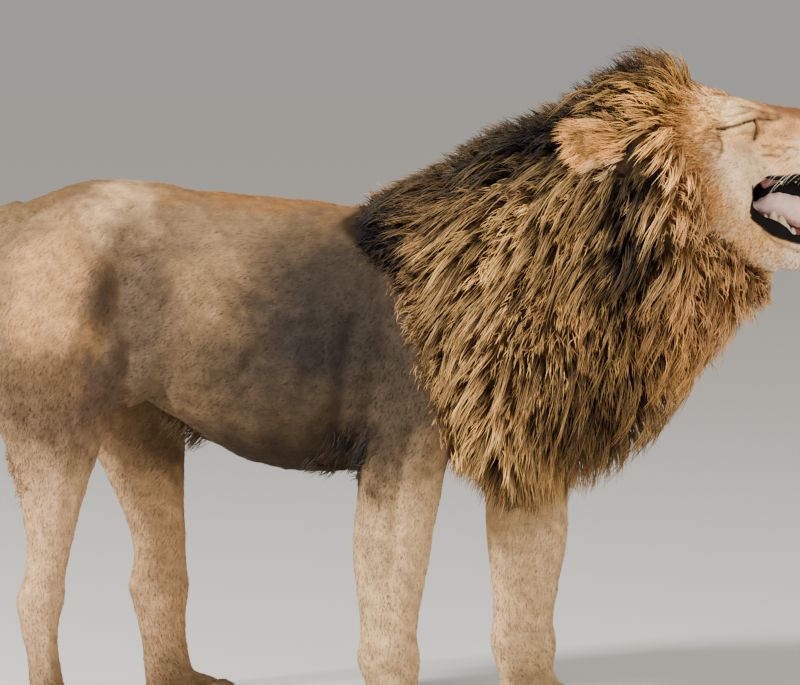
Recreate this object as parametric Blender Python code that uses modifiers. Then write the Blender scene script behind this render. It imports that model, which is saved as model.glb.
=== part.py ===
"""A male lion, life size, standing with its head raised and its mouth open.

+X is forwards, +Y the lion's left and +Z up, in metres, with the floor at Z = 0. The solids reach
to the tips of the coat. The body is fused from lofts and muscles, then parted with thin cuts.
"""

import math
from collections import namedtuple

import bmesh
import bpy
import numpy as np
from mathutils import Matrix, Vector

# Driving dimensions
RUMP_TOP = 1.097  # top of the hips above the floor
BACK_DIP = 1.050  # lowest part of the back, just behind the mane
BELLY = 0.500  # lowest part of the belly
BUTTOCK = -0.785  # rearmost part of the body
NOSE_TIP = 0.965
MANE_TOP = 1.342  # tips of the hair over the crown
MANE_FOOT = 0.420  # tips of the hair hanging under the chest
MANE_DRAPE = 3.2  # superellipse power of its lower half, where it lies over the shoulders
MANE_KEEL = 1.75  # and ahead of them, where it hangs narrower
FORE_TRACK = 0.142  # from the middle plane to the middle of a forepaw
HIND_TRACK = 0.132
FORE_REACH = 0.212  # how far the left forepaw stands ahead of the right one
HIND_REACH = 0.205
FORE_CARPUS = 0.135  # height of the wrist joint
ELBOW = 0.550
HOCK = 0.255
STIFLE = 0.590
EYE_RADIUS = 0.0185
EYE = Vector((0.762, 0.076, 1.214))  # centre of the left eyeball
HEAD_BACK = 0.610  # where the head is parted from the neck, inside the mane
MOUTH_PARTING = 1.054  # the lower jaw is all that lies below this, ahead of JAW_BACK
JAW_BACK = 0.742
GAP = 0.0005  # width of a parting cut

BODY_VOXEL = 0.011  # the grain that the body's pieces are fused at
FACE_VOXEL = 0.0046
BODY_TRIANGLES = 2200
FACE_TRIANGLES = 900

# A vertical section of the trunk, mane or head: its level is the height where it is widest.
Section = namedtuple("Section", "x top bottom level half")
# A level section of a leg, from its back edge to its front edge.
LegSection = namedtuple("LegSection", "z back front side half")

# Each finish: linear colour and roughness. Every node has its own material of its finish.
FINISHES = {
    "coat": ((0.40, 0.27, 0.15), 0.85),
    "mane": ((0.13, 0.075, 0.035), 0.90),
    "face": ((0.52, 0.33, 0.17), 0.85),
    "tongue": ((0.60, 0.25, 0.22), 0.35),
    "nose_leather": ((0.09, 0.045, 0.035), 0.45),
    "eye": ((0.30, 0.15, 0.03), 0.10),
}
NODE_FINISH = {
    "head": "face",
    "lower_jaw": "face",
    "ear_left": "face",
    "ear_right": "face",
    "neck_mane": "mane",
    "chest_mane": "mane",
    "tail_tuft": "mane",
    "tongue": "tongue",
    "nose_pad": "nose_leather",
    "eye_left": "eye",
    "eye_right": "eye",
}  # every other node has the coat


# ---------------------------------------------------------------- tools


def clear_scene():
    for leftover in list(bpy.data.objects):
        bpy.data.objects.remove(leftover)


def new_collection(name):
    collection = bpy.data.collections.new(name)
    bpy.context.scene.collection.children.link(collection)
    return collection


def material(name, colour, roughness, metallic=0.0):
    made = bpy.data.materials.new(name)
    made.use_nodes = True
    shader = made.node_tree.nodes["Principled BSDF"]
    shader.inputs["Base Color"].default_value = (*colour, 1.0)
    shader.inputs["Roughness"].default_value = roughness
    shader.inputs["Metallic"].default_value = metallic
    return made


def smooth_rows(rows, steps):
    """The rows of a section table with steps more between each two, on a Catmull-Rom curve."""
    table = np.array(rows, float)
    padded = np.vstack([2 * table[0] - table[1], table, 2 * table[-1] - table[-2]])
    out = []
    for i in range(1, len(table)):
        p0, p1, p2, p3 = padded[i - 1 : i + 3]
        for k in range(steps):
            t = k / steps
            bend = (2 * p0 - 5 * p1 + 4 * p2 - p3) * t * t + (3 * p1 - p0 - 3 * p2 + p3) * t**3
            out.append(0.5 * (2 * p1 + (p2 - p0) * t + bend))
    out.append(table[-1])
    return np.array(out)


def loft(name, rings):
    """A closed mesh through rings of points, each ring given as a list of the same length."""
    bm = bmesh.new()
    loops = [[bm.verts.new(point) for point in ring] for ring in rings]
    count = len(loops[0])
    for near, far in zip(loops, loops[1:]):
        for k in range(count):
            after = (k + 1) % count
            bm.faces.new((near[k], near[after], far[after], far[k]))
    bm.faces.new(loops[0][::-1])
    bm.faces.new(loops[-1])
    bmesh.ops.recalc_face_normals(bm, faces=bm.faces)
    mesh = bpy.data.meshes.new(name)
    bm.to_mesh(mesh)
    bm.free()
    made = bpy.data.objects.new(name, mesh)
    bpy.context.scene.collection.objects.link(made)
    return made


def power_wave(value, power):
    return math.copysign(abs(value) ** (2 / power), value)


def upright_loft(name, sections, over=2.0, under=2.0, sides=28, steps=5):
    """A loft along X. over and under are the superellipse powers of its upper and lower halves:
    under is one power, or one for each section."""
    table = np.column_stack([sections, np.broadcast_to(under, len(sections))])
    rings = []
    for x, top, bottom, level, half, lower in smooth_rows(table, steps):
        ring = []
        for k in range(sides):
            angle = 2 * math.pi * k / sides
            power = over if angle <= math.pi else lower
            rise = top - level if angle <= math.pi else level - bottom
            y = half * power_wave(math.cos(angle), power)
            ring.append((x, y, level + rise * power_wave(math.sin(angle), power)))
        rings.append(ring)
    return loft(name, rings)


def leg_loft(name, sections, sides=20, steps=4):
    """A loft down a leg, through level sections that are a little square."""
    rings = []
    for z, back, front, side, half in smooth_rows(sections, steps):
        ring = []
        for k in range(sides):
            angle = 2 * math.pi * k / sides
            x = (back + front) / 2 + (front - back) / 2 * power_wave(math.cos(angle), 2.2)
            ring.append((x, side + half * power_wave(math.sin(angle), 2.2), z))
        rings.append(ring)
    return loft(name, rings)


def ball(name, centre, radii, pitch=0.0, yaw=0.0, segments=20):
    """An ellipsoid. pitch raises its front end and yaw turns that end to the left, in degrees."""
    bpy.ops.mesh.primitive_uv_sphere_add(segments=segments, ring_count=segments // 2 + 1, radius=1.0)
    made = bpy.context.object
    made.name = name
    turn = Matrix.Rotation(math.radians(yaw), 4, "Z") @ Matrix.Rotation(math.radians(-pitch), 4, "Y")
    made.data.transform(Matrix.Translation(centre) @ turn @ Matrix.Diagonal((*radii, 1.0)))
    return made


def mirrored_balls(name, centre, radii, pitch=0.0, yaw=0.0):
    """The same ellipsoid on the left and on the right."""
    left = ball(name, centre, radii, pitch, yaw)
    right = ball(name, (centre[0], -centre[1], centre[2]), radii, pitch, -yaw)
    return [left, right]


def tapered_curve(name, points, roundness=3, steps=4):
    """A tube through (x, y, z, radius) rows, as a mesh with welded caps."""
    curve = bpy.data.curves.new(name, "CURVE")
    curve.dimensions = "3D"
    curve.bevel_depth = 1.0
    curve.bevel_resolution = roundness
    curve.use_fill_caps = True
    spline = curve.splines.new("POLY")
    rows = smooth_rows(points, steps)
    spline.points.add(len(rows) - 1)
    for point, (x, y, z, radius) in zip(spline.points, rows):
        point.co = (x, y, z, 1.0)
        point.radius = radius
    holder = bpy.data.objects.new(name, curve)
    bpy.context.scene.collection.objects.link(holder)
    bpy.context.view_layer.update()
    graph = bpy.context.evaluated_depsgraph_get()
    mesh = bpy.data.meshes.new_from_object(holder.evaluated_get(graph))
    bpy.data.objects.remove(holder)
    bm = bmesh.new()
    bm.from_mesh(mesh)
    bmesh.ops.remove_doubles(bm, verts=bm.verts, dist=1e-5)
    bmesh.ops.recalc_face_normals(bm, faces=bm.faces)
    bm.to_mesh(mesh)
    bm.free()
    made = bpy.data.objects.new(name, mesh)
    bpy.context.scene.collection.objects.link(made)
    return made


def block(name, low, high, pitch=0.0, about=None):
    """A box between two corners, turned about the Y axis through a point, for cutting."""
    bpy.ops.mesh.primitive_cube_add(size=1.0)
    made = bpy.context.object
    made.name = name
    low, high = Vector(low), Vector(high)
    made.data.transform(Matrix.Translation((low + high) / 2) @ Matrix.Diagonal((*(high - low), 1.0)))
    if pitch:
        pivot = Matrix.Translation(about)
        turn = Matrix.Rotation(math.radians(-pitch), 4, "Y")
        made.data.transform(pivot @ turn @ pivot.inverted())
    return made


def apply_modifiers(obj):
    graph = bpy.context.evaluated_depsgraph_get()
    mesh = bpy.data.meshes.new_from_object(obj.evaluated_get(graph))
    obj.modifiers.clear()
    obj.data = mesh


def fuse(name, pieces, voxel, rounding, triangles):
    """The pieces as one smooth skin: voxels join them, then rounding fills the creases."""
    bpy.ops.object.select_all(action="DESELECT")
    for piece in pieces:
        piece.select_set(True)
    bpy.context.view_layer.objects.active = pieces[0]
    bpy.ops.object.join()
    whole = pieces[0]
    whole.name = name
    remesh = whole.modifiers.new("Remesh", "REMESH")
    remesh.mode = "VOXEL"
    remesh.voxel_size = voxel
    apply_modifiers(whole)
    smooth = whole.modifiers.new("Smooth", "SMOOTH")
    smooth.factor = 0.5
    smooth.iterations = rounding
    apply_modifiers(whole)
    decimate = whole.modifiers.new("Decimate", "DECIMATE")
    decimate.ratio = min(1.0, triangles / (2 * len(whole.data.polygons)))
    decimate.use_collapse_triangulate = True
    apply_modifiers(whole)
    keep_largest(whole)
    return whole


def keep_largest(obj):
    """Removes the crumbs that a cut can leave beside the main body of a mesh."""
    bm = bmesh.new()
    bm.from_mesh(obj.data)
    unseen, groups = set(bm.verts), []
    while unseen:
        front = [unseen.pop()]
        group = list(front)
        while front:
            vert = front.pop()
            for edge in vert.link_edges:
                other = edge.other_vert(vert)
                if other in unseen:
                    unseen.discard(other)
                    front.append(other)
                    group.append(other)
        groups.append(group)
    groups.sort(key=len)
    for group in groups[:-1]:
        bmesh.ops.delete(bm, geom=group, context="VERTS")
    bm.to_mesh(obj.data)
    bm.free()


def boolean(obj, other, operation):
    modifier = obj.modifiers.new("Cut", "BOOLEAN")
    modifier.operation = operation
    modifier.object = other
    apply_modifiers(obj)


def copy_of(obj, name):
    made = bpy.data.objects.new(name, obj.data.copy())
    bpy.context.scene.collection.objects.link(made)
    return made


def part_off(whole, name, low, high, pitch=0.0, about=None):
    """Cuts the piece of the whole that lies in a box away from it, with a thin gap between."""
    cell = block("cell", low, high, pitch, about)
    piece = copy_of(whole, name)
    boolean(piece, cell, "INTERSECT")
    keep_largest(piece)
    bpy.data.objects.remove(cell)
    wide = Vector((GAP, GAP, GAP))
    cell = block("cell", Vector(low) - wide, Vector(high) + wide, pitch, about)
    boolean(whole, cell, "DIFFERENCE")
    bpy.data.objects.remove(cell)
    keep_largest(whole)
    return piece


def drop_below_floor(obj):
    """Cuts the soles off flat at the floor."""
    cell = block("cell", (-2, -2, -1), (2, 2, 0))
    boolean(obj, cell, "DIFFERENCE")
    bpy.data.objects.remove(cell)


# ---------------------------------------------------------------- body


def make_trunk():
    sections = [
        Section(BUTTOCK + 0.012, 0.960, 0.855, 0.905, 0.040),
        Section(-0.735, 1.022, 0.760, 0.900, 0.098),
        Section(-0.660, 1.064, 0.700, 0.895, 0.138),
        Section(-0.556, RUMP_TOP, 0.668, 0.880, 0.162),
        Section(-0.455, 1.096, 0.645, 0.850, 0.168),
        Section(-0.345, 1.080, 0.582, 0.810, 0.182),
        Section(-0.230, 1.070, 0.520, 0.775, 0.203),
        Section(-0.110, 1.059, BELLY, 0.765, 0.212),
        Section(-0.020, BACK_DIP, 0.506, 0.775, 0.208),
        Section(0.080, 1.062, 0.520, 0.790, 0.192),
        Section(0.180, 1.080, 0.530, 0.800, 0.178),
        Section(0.280, 1.060, 0.560, 0.810, 0.155),
        Section(0.370, 1.000, 0.640, 0.830, 0.110),
    ]
    return upright_loft("trunk", sections, over=2.15, under=2.1)


def make_neck():
    sections = [
        Section(0.160, 1.070, 0.640, 0.870, 0.140),
        Section(0.300, 1.130, 0.700, 0.930, 0.140),
        Section(0.440, 1.200, 0.800, 1.010, 0.130),
        Section(0.580, 1.230, 0.930, 1.090, 0.120),
    ]
    return upright_loft("neck", sections)


def make_mane():
    """The hair of the neck, chest and crown, out to its tips, with the bib under the chest."""
    sections = [
        Section(0.004, 1.046, 0.950, 1.000, 0.150),
        Section(0.050, 1.074, 0.926, 0.996, 0.206),
        Section(0.092, 1.096, 0.880, 0.972, 0.232),
        Section(0.128, 1.114, 0.780, 0.920, 0.248),
        Section(0.158, 1.130, 0.650, 0.885, 0.258),
        Section(0.190, 1.150, 0.545, 0.870, 0.264),
        Section(0.230, 1.180, 0.468, 0.870, 0.266),
        Section(0.300, 1.212, MANE_FOOT, 0.880, 0.268),
        Section(0.390, 1.252, 0.440, 0.910, 0.270),
        Section(0.470, 1.302, 0.476, 0.950, 0.268),
        Section(0.545, MANE_TOP, 0.526, 0.985, 0.262),
        Section(0.610, MANE_TOP, 0.602, 1.015, 0.246),
        Section(0.660, 1.332, 0.672, 1.020, 0.214),
        Section(0.700, 1.290, 0.722, 1.000, 0.164),
        Section(0.738, 1.180, 0.768, 0.950, 0.116),
        Section(0.785, 0.975, 0.820, 0.900, 0.076),
        Section(0.824, 0.884, 0.856, 0.870, 0.036),
    ]
    under = [MANE_KEEL + (MANE_DRAPE - MANE_KEEL) * (1 - ease(s.x, 0.24, 0.54)) for s in sections]
    return upright_loft("mane", sections, over=2.1, under=under, sides=32)


def reaching(sections, back_reach, front_reach, planted, hung):
    """Leg sections on the other side, moved forwards below the height hung and in full below planted."""
    moved = []
    for s in sections:
        share = 1 - ease(s.z, planted, hung)
        back, front = s.back + back_reach * share, s.front + front_reach * share
        moved.append(LegSection(s.z, back, front, -s.side, s.half))
    return moved


def ease(value, low, high):
    """0 below low, 1 above high, and a smooth step between."""
    t = min(1.0, max(0.0, (value - low) / (high - low)))
    return t * t * (3 - 2 * t)


def paw(name, heel, front, side, width, toe_length):
    """A paw with its pad, four toes and the sole's flat, which the floor cuts."""
    length = front - heel
    pieces = [
        ball(name, (heel + 0.42 * length, side, 0.034), (0.46 * length, 0.44 * width, 0.046)),
    ]
    toe_radius = 0.145 * width + 0.004
    for k in range(4):
        across = (k - 1.5) / 1.5
        tip = front - toe_length * (0.55 + 0.20 * abs(across))
        place = (tip, side + across * 0.345 * width, 0.031)
        pieces.append(ball(name, place, (toe_length * 0.62, toe_radius, 0.034), yaw=8 * across))
    return pieces


def make_foreleg(left):
    """The right foreleg is upright; the left one reaches forwards."""
    side = -FORE_TRACK
    sections = [
        LegSection(0.990, 0.090, 0.215, side + 0.050, 0.040),
        LegSection(0.900, 0.062, 0.270, side + 0.018, 0.078),
        LegSection(0.800, 0.054, 0.322, side + 0.006, 0.084),
        LegSection(0.700, 0.048, 0.318, side, 0.082),
        LegSection(0.620, 0.034, 0.262, side - 0.006, 0.078),
        LegSection(ELBOW, 0.010, 0.206, side - 0.008, 0.073),
        LegSection(0.470, 0.006, 0.184, side - 0.006, 0.068),
        LegSection(0.360, -0.002, 0.166, side - 0.003, 0.062),
        LegSection(0.260, 0.008, 0.146, side, 0.054),
        LegSection(0.200, 0.012, 0.138, side, 0.051),
        LegSection(FORE_CARPUS + 0.015, 0.006, 0.145, side, 0.055),
        LegSection(0.100, 0.020, 0.139, side, 0.051),
        LegSection(0.065, 0.026, 0.150, side, 0.055),
        LegSection(0.030, 0.028, 0.158, side, 0.058),
    ]
    heel, front = 0.018, 0.208
    if left:
        sections = reaching(sections, FORE_REACH + 0.010, FORE_REACH + 0.020, 0.36, 1.00)
        heel, front, side = heel + FORE_REACH + 0.010, front + FORE_REACH + 0.018, -side
    pieces = [leg_loft("foreleg", sections)]
    return pieces + paw("forepaw", heel, front, side, 0.142, 0.062)


def make_hind_leg(left):
    side = -HIND_TRACK
    sections = [
        LegSection(1.020, -0.680, -0.500, side + 0.060, 0.040),
        LegSection(0.940, -0.745, -0.455, side + 0.024, 0.072),
        LegSection(0.860, BUTTOCK + 0.008, -0.438, side + 0.010, 0.086),
        LegSection(0.770, BUTTOCK, -0.440, side + 0.004, 0.088),
        LegSection(0.690, -0.772, -0.458, side, 0.082),
        LegSection(STIFLE + 0.030, -0.738, -0.486, side - 0.004, 0.074),
        LegSection(0.545, -0.706, -0.508, side - 0.003, 0.063),
        LegSection(0.460, -0.684, -0.540, side, 0.052),
        LegSection(0.370, -0.670, -0.563, side, 0.044),
        LegSection(0.300, -0.674, -0.577, side, 0.042),
        LegSection(HOCK, -0.692, -0.580, side, 0.043),
        LegSection(0.200, -0.684, -0.592, side, 0.040),
        LegSection(0.120, -0.668, -0.590, side, 0.040),
        LegSection(0.030, -0.660, -0.570, side, 0.044),
    ]
    heel, front = -0.664, -0.490
    if left:
        sections = reaching(sections, HIND_REACH - 0.030, HIND_REACH, 0.16, 1.02)
        heel, front, side = heel + HIND_REACH, front + HIND_REACH, -side
    pieces = [leg_loft("hindleg", sections)]
    return pieces + paw("hindpaw", heel, front, side, 0.122, 0.056)


def make_tail():
    points = [
        (-0.700, 0.0, 1.000, 0.052),
        (-0.775, 0.0, 0.980, 0.042),
        (-0.835, 0.0, 0.905, 0.032),
        (-0.862, 0.0, 0.780, 0.026),
        (-0.868, 0.0, 0.620, 0.023),
        (-0.866, 0.0, 0.470, 0.021),
        (-0.872, 0.0, 0.380, 0.026),
        (-0.888, 0.0, 0.310, 0.042),
        (-0.906, 0.0, 0.240, 0.044),
        (-0.922, 0.0, 0.180, 0.026),
        (-0.930, 0.0, 0.145, 0.006),
    ]
    return tapered_curve("tail", points)


def make_body():
    """Trunk, neck, mane, legs and tail as one mesh, with the muscles that show through the coat."""
    pieces = [make_trunk(), make_neck(), make_mane(), make_tail()]
    for left in (False, True):
        pieces += make_foreleg(left)
        pieces += make_hind_leg(left)
    pieces += mirrored_balls("hip", (-0.510, 0.078, 0.998), (0.125, 0.074, 0.072), pitch=-8)
    pieces += mirrored_balls("haunch", (-0.600, 0.125, 0.830), (0.150, 0.082, 0.180), pitch=12)
    pieces += mirrored_balls("flank", (-0.440, 0.112, 0.722), (0.118, 0.046, 0.076), pitch=35)
    pieces += mirrored_balls("shoulder", (0.150, 0.125, 0.860), (0.120, 0.085, 0.170), pitch=-10)
    pieces.append(ball("scrotum", (-0.745, 0.0, 0.745), (0.042, 0.044, 0.060)))
    pieces.append(ball("sheath", (-0.340, 0.0, 0.612), (0.090, 0.036, 0.038), pitch=-34))
    body = fuse("body", pieces, BODY_VOXEL, 7, BODY_TRIANGLES)
    drop_below_floor(body)
    return body


# ---------------------------------------------------------------- head


def make_face():
    """The skull, cheeks, brows and muzzle with the lower jaw let down, as one solid."""
    skull = [
        Section(0.440, 1.205, 1.060, 1.140, 0.080),
        Section(0.540, 1.258, 1.020, 1.140, 0.116),
        Section(0.630, 1.280, 1.000, 1.130, 0.134),
        Section(0.700, 1.274, 1.000, 1.120, 0.132),
        Section(0.755, 1.262, 1.035, 1.135, 0.108),
        Section(0.800, 1.252, 1.084, 1.158, 0.084),
        Section(0.850, 1.240, 1.098, 1.160, 0.070),
        Section(0.900, 1.226, 1.100, 1.154, 0.064),
        Section(0.938, 1.210, 1.104, 1.150, 0.052),
        Section(NOSE_TIP - 0.004, 1.184, 1.120, 1.156, 0.030),
    ]
    jaw = [
        Section(0.610, 1.080, 0.960, 1.020, 0.098),
        Section(0.680, 1.070, 0.930, 1.000, 0.094),
        Section(0.745, 1.060, 0.918, 0.990, 0.082),
        Section(0.795, 1.036, 0.914, 0.978, 0.066),
        Section(0.840, 1.006, 0.916, 0.966, 0.057),
        Section(0.885, 0.986, 0.920, 0.956, 0.050),
        Section(0.917, 0.978, 0.926, 0.954, 0.040),
        Section(0.934, 0.968, 0.940, 0.954, 0.022),
    ]
    pieces = [upright_loft("skull", skull, over=2.3, under=2.5)]
    pieces.append(upright_loft("jaw", jaw, over=3.0, under=2.3))
    pieces += mirrored_balls("brow", (0.754, 0.064, 1.238), (0.052, 0.031, 0.023), -12, -14)
    pieces += mirrored_balls("eyelids", (0.772, 0.075, 1.214), (0.037, 0.025, 0.021), 10, -20)
    pieces += mirrored_balls("cheekbone", (0.705, 0.100, 1.150), (0.085, 0.038, 0.046), -6, -20)
    pieces += mirrored_balls("cheek", (0.705, 0.082, 1.075), (0.088, 0.046, 0.090), -24)
    pieces += mirrored_balls("jowl", (0.745, 0.060, 1.005), (0.075, 0.030, 0.058), -14)
    pieces += mirrored_balls("whisker_pad", (0.904, 0.036, 1.140), (0.056, 0.037, 0.038), 2, -8)
    pieces += mirrored_balls("upper_lip", (0.862, 0.053, 1.117), (0.070, 0.016, 0.021), 0, -9)
    pieces += mirrored_balls("lower_lip", (0.884, 0.042, 0.974), (0.044, 0.013, 0.019), -14, -16)
    pieces += mirrored_balls("lip_corner", (0.832, 0.053, 0.998), (0.046, 0.012, 0.020), -34, -8)
    pieces.append(ball("nose_bridge", (0.872, 0.0, 1.211), (0.088, 0.036, 0.026), pitch=-13))
    pieces.append(ball("chin", (0.905, 0.0, 0.950), (0.032, 0.036, 0.026)))
    return fuse("head", pieces, FACE_VOXEL, 5, FACE_TRIANGLES)


def cut_ball(obj, centre, radii, pitch=0.0, yaw=0.0):
    cutter = ball("cutter", centre, radii, pitch, yaw, segments=10)
    boolean(obj, cutter, "DIFFERENCE")
    bpy.data.objects.remove(cutter)


def cut_seat(obj, tenant):
    """Cuts room for another piece out of an object, with the parting gap all round."""
    cutter = copy_of(tenant, "cutter")
    for vert, normal in zip(cutter.data.vertices, [v.normal.copy() for v in cutter.data.vertices]):
        vert.co += normal * GAP
    boolean(obj, cutter, "DIFFERENCE")
    bpy.data.objects.remove(cutter)
    keep_largest(obj)


def hollow_mouth(face):
    """Opens the mouth's inside: the palate's arch, the throat and the trough for the tongue."""
    cut_ball(face, (0.860, 0.0, 1.094), (0.060, 0.040, 0.022))
    cut_ball(face, (0.800, 0.0, 1.050), (0.068, 0.042, 0.036), pitch=-8)
    cut_ball(face, (0.835, 0.0, 1.012), (0.082, 0.036, 0.030), pitch=-22)
    keep_largest(face)


def make_eyes(face):
    """Both eyeballs, each in its socket behind a narrow slit between the lids."""
    eyes = {}
    for name, side in (("eye_left", 1), ("eye_right", -1)):
        eyes[name] = ball(name, (EYE.x, side * EYE.y, EYE.z), (EYE_RADIUS,) * 3, segments=12)
        slit = (EYE.x + 0.004, side * (EYE.y + 0.022), EYE.z)
        cut_ball(face, slit, (0.0205, 0.018, 0.0030), 10, -22 * side)
        cut_seat(face, eyes[name])
    return eyes


def add_tooth(jaw, root, tip, radius):
    """Unites a tooth, which tapers on a slight backward curve, with the jaw that it grows from."""
    rows = []
    for t in (0.0, 0.5, 1.0):
        point = root.lerp(tip, t)
        bow = 0.16 * (tip - root).length * math.sin(math.pi * t)
        rows.append((point.x + bow, point.y, point.z, radius * (1 - t) ** 0.6 + 0.0010))
    tooth = tapered_curve("tooth", rows, roundness=1, steps=1)
    boolean(jaw, tooth, "UNION")
    bpy.data.objects.remove(tooth)


def add_teeth(jaw, canine, canine_height, front, gum, direction):
    """Both canines, two cheek teeth behind each, and the six incisors of one jaw."""
    for side in (1, -1):
        x, y = canine.x, side * canine.y
        root = Vector((x, y, canine.z - 0.012 * direction))
        tip = Vector((x - 0.006, side * (canine.y + 0.002), canine.z + canine_height * direction))
        add_tooth(jaw, root, tip, 0.0092)
        for k in range(2):
            root = Vector((x - 0.042 - 0.026 * k, y + 0.002 * side, gum - 0.010 * direction))
            add_tooth(jaw, root, root + Vector((0, 0, 0.026 * direction)), 0.0085)
    for k in range(6):
        across = (k - 2.5) / 2.5
        root = Vector((front - 0.006 * across**2, 0.0165 * across, gum - 0.008 * direction))
        add_tooth(jaw, root, root + Vector((0, 0, 0.017 * direction)), 0.0034)


def make_tongue():
    sections = [
        Section(0.762, 1.056, 1.000, 1.028, 0.025),
        Section(0.795, 1.067, 0.990, 1.034, 0.030),
        Section(0.830, 1.068, 0.984, 1.030, 0.031),
        Section(0.866, 1.056, 0.992, 1.022, 0.029),
        Section(0.895, 1.036, 0.998, 1.014, 0.023),
        Section(0.912, 1.020, 1.002, 1.011, 0.012),
    ]
    return upright_loft("tongue", sections, over=2.6, sides=12, steps=2)


def make_nose_pad():
    pad = ball("nose_pad", (0.942, 0.0, 1.190), (0.024, 0.035, 0.026), pitch=-20, segments=12)
    for side in (1, -1):
        cut_ball(pad, (0.964, side * 0.019, 1.186), (0.011, 0.009, 0.006), yaw=30 * side)
    return pad


def make_ear(name, side):
    """A round ear laid back on the mane, hollow on its outer side, out to the hair of its edge."""
    base, tip = Vector((0.560, 0.168, 1.150)), Vector((0.448, 0.232, 1.190))
    middle, along = (base + tip) / 2, tip - base
    pitch = -math.degrees(math.asin(along.z / along.length))
    yaw = -math.degrees(math.atan2(along.y, -along.x))
    half = along.length / 2
    place = (middle.x, side * middle.y, middle.z)
    ear = ball(name, place, (half, 0.024, 0.044), pitch, yaw * side, segments=12)
    place = (middle.x + 0.006, side * (middle.y + 0.028), middle.z - 0.004)
    cut_ball(ear, place, (half * 0.70, 0.018, 0.028), pitch, yaw * side)
    return ear


# ---------------------------------------------------------------- parting


def part_head(body):
    """The head's nodes, each clear of the mane that they sit in."""
    whole = make_face()
    face = part_off(whole, "head", (HEAD_BACK, -1, 0), (2, 1, 2))
    bpy.data.objects.remove(whole)
    cut_seat(body, face)
    ears = {"ear_left": make_ear("ear_left", 1), "ear_right": make_ear("ear_right", -1)}
    for ear in ears.values():
        cut_seat(body, ear)
        cut_seat(face, ear)
    hollow_mouth(face)
    nose_pad = make_nose_pad()
    cut_seat(face, nose_pad)
    eyes = make_eyes(face)
    jaw = part_off(face, "lower_jaw", (JAW_BACK, -1, 0), (2, 1, MOUTH_PARTING))
    add_teeth(face, Vector((0.905, 0.036, 1.112)), 0.052, 0.934, 1.106, -1)
    add_teeth(jaw, Vector((0.892, 0.030, 0.974)), 0.044, 0.918, 0.976, 1)
    tongue = make_tongue()
    cut_seat(jaw, tongue)
    cut_seat(face, tongue)
    nodes = {"head": face, "lower_jaw": jaw, "tongue": tongue, "nose_pad": nose_pad}
    return nodes | ears | eyes


def part_limbs(body):
    """Each leg in three lengths, and the tail in two."""
    nodes = {}
    fore_knee, hind_knee = MANE_FOOT - 0.005, STIFLE - 0.025
    for name, side, lean in (("left", 1, 19), ("right", -1, 0)):
        # Each row is a cell: its name, extent in x, inner side, extent in z and lean.
        cells = [
            ("hind_foot", (-1.0, -0.1), 0.03, (-1.0, HOCK), 0),
            ("shank", (-1.0, -0.2), 0.03, (HOCK, hind_knee), 0),
            ("thigh", (-0.82, -0.36), 0.056, (hind_knee, 0.930), 0),
            ("forepaw", (-0.1, 0.7), 0.02, (-1.0, FORE_CARPUS), 0),
            ("forearm", (-0.1, 0.7), 0.02, (FORE_CARPUS, fore_knee), 0),
            ("upper_arm", (-0.04, 0.20), 0.056, (0.2, 0.800), lean),
        ]
        for part, (back, front), inner, (bottom, top), pitch in cells:
            near, far = sorted((side * inner, side * 0.5))
            node = f"{part}_{name}"
            low, high = (back, near, bottom), (front, far, top)
            nodes[node] = part_off(body, node, low, high, pitch, (front / 2, 0, top))
    nodes["tail_tuft"] = part_off(body, "tail_tuft", (-1.2, -0.1, 0), (-0.80, 0.1, 0.405))
    nodes["tail"] = part_off(body, "tail", (-1.2, -0.1, 0), (-0.797, 0.1, 1.1))
    return nodes


def part_mane(body):
    """The chest's mane below the neck's, both ahead of a slanting cut down the shoulder."""
    top = (0.030, 0.0, BACK_DIP)
    mane = part_off(body, "neck_mane", (top[0], -1, -1), (2, 1, 2), 15, top)
    chest = part_off(mane, "chest_mane", (-1, -1, 0), (2, 1, 0.860))
    return {"neck_mane": mane, "chest_mane": chest}


def finish(nodes):
    """Puts the nodes in the lion's collection, dresses them, and centres them on the floor."""
    lion = new_collection("lion")
    corners = [v.co for obj in nodes.values() for v in obj.data.vertices]
    middle = [(min(c[k] for c in corners) + max(c[k] for c in corners)) / 2 for k in range(2)]
    floor = min(c.z for c in corners)
    for name, obj in nodes.items():
        obj.name = obj.data.name = name
        for collection in list(obj.users_collection):
            collection.objects.unlink(obj)
        lion.objects.link(obj)
        obj.data.transform(Matrix.Translation((-middle[0], -middle[1], -floor)))
        colour, roughness = FINISHES[NODE_FINISH.get(name, "coat")]
        obj.data.materials.clear()
        obj.data.materials.append(material(name, colour, roughness))
        obj.data.shade_smooth()
        obj.data.set_sharp_from_angle(angle=math.radians(50))


def main():
    clear_scene()
    body = make_body()
    nodes = part_head(body)
    nodes |= part_limbs(body)
    nodes |= part_mane(body)
    nodes["trunk"] = body
    finish(nodes)


main()
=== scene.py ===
import math
from collections import namedtuple

import bpy
import numpy as np
from mathutils import Matrix, Vector
from mathutils.bvhtree import BVHTree
from mathutils.kdtree import KDTree


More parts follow.
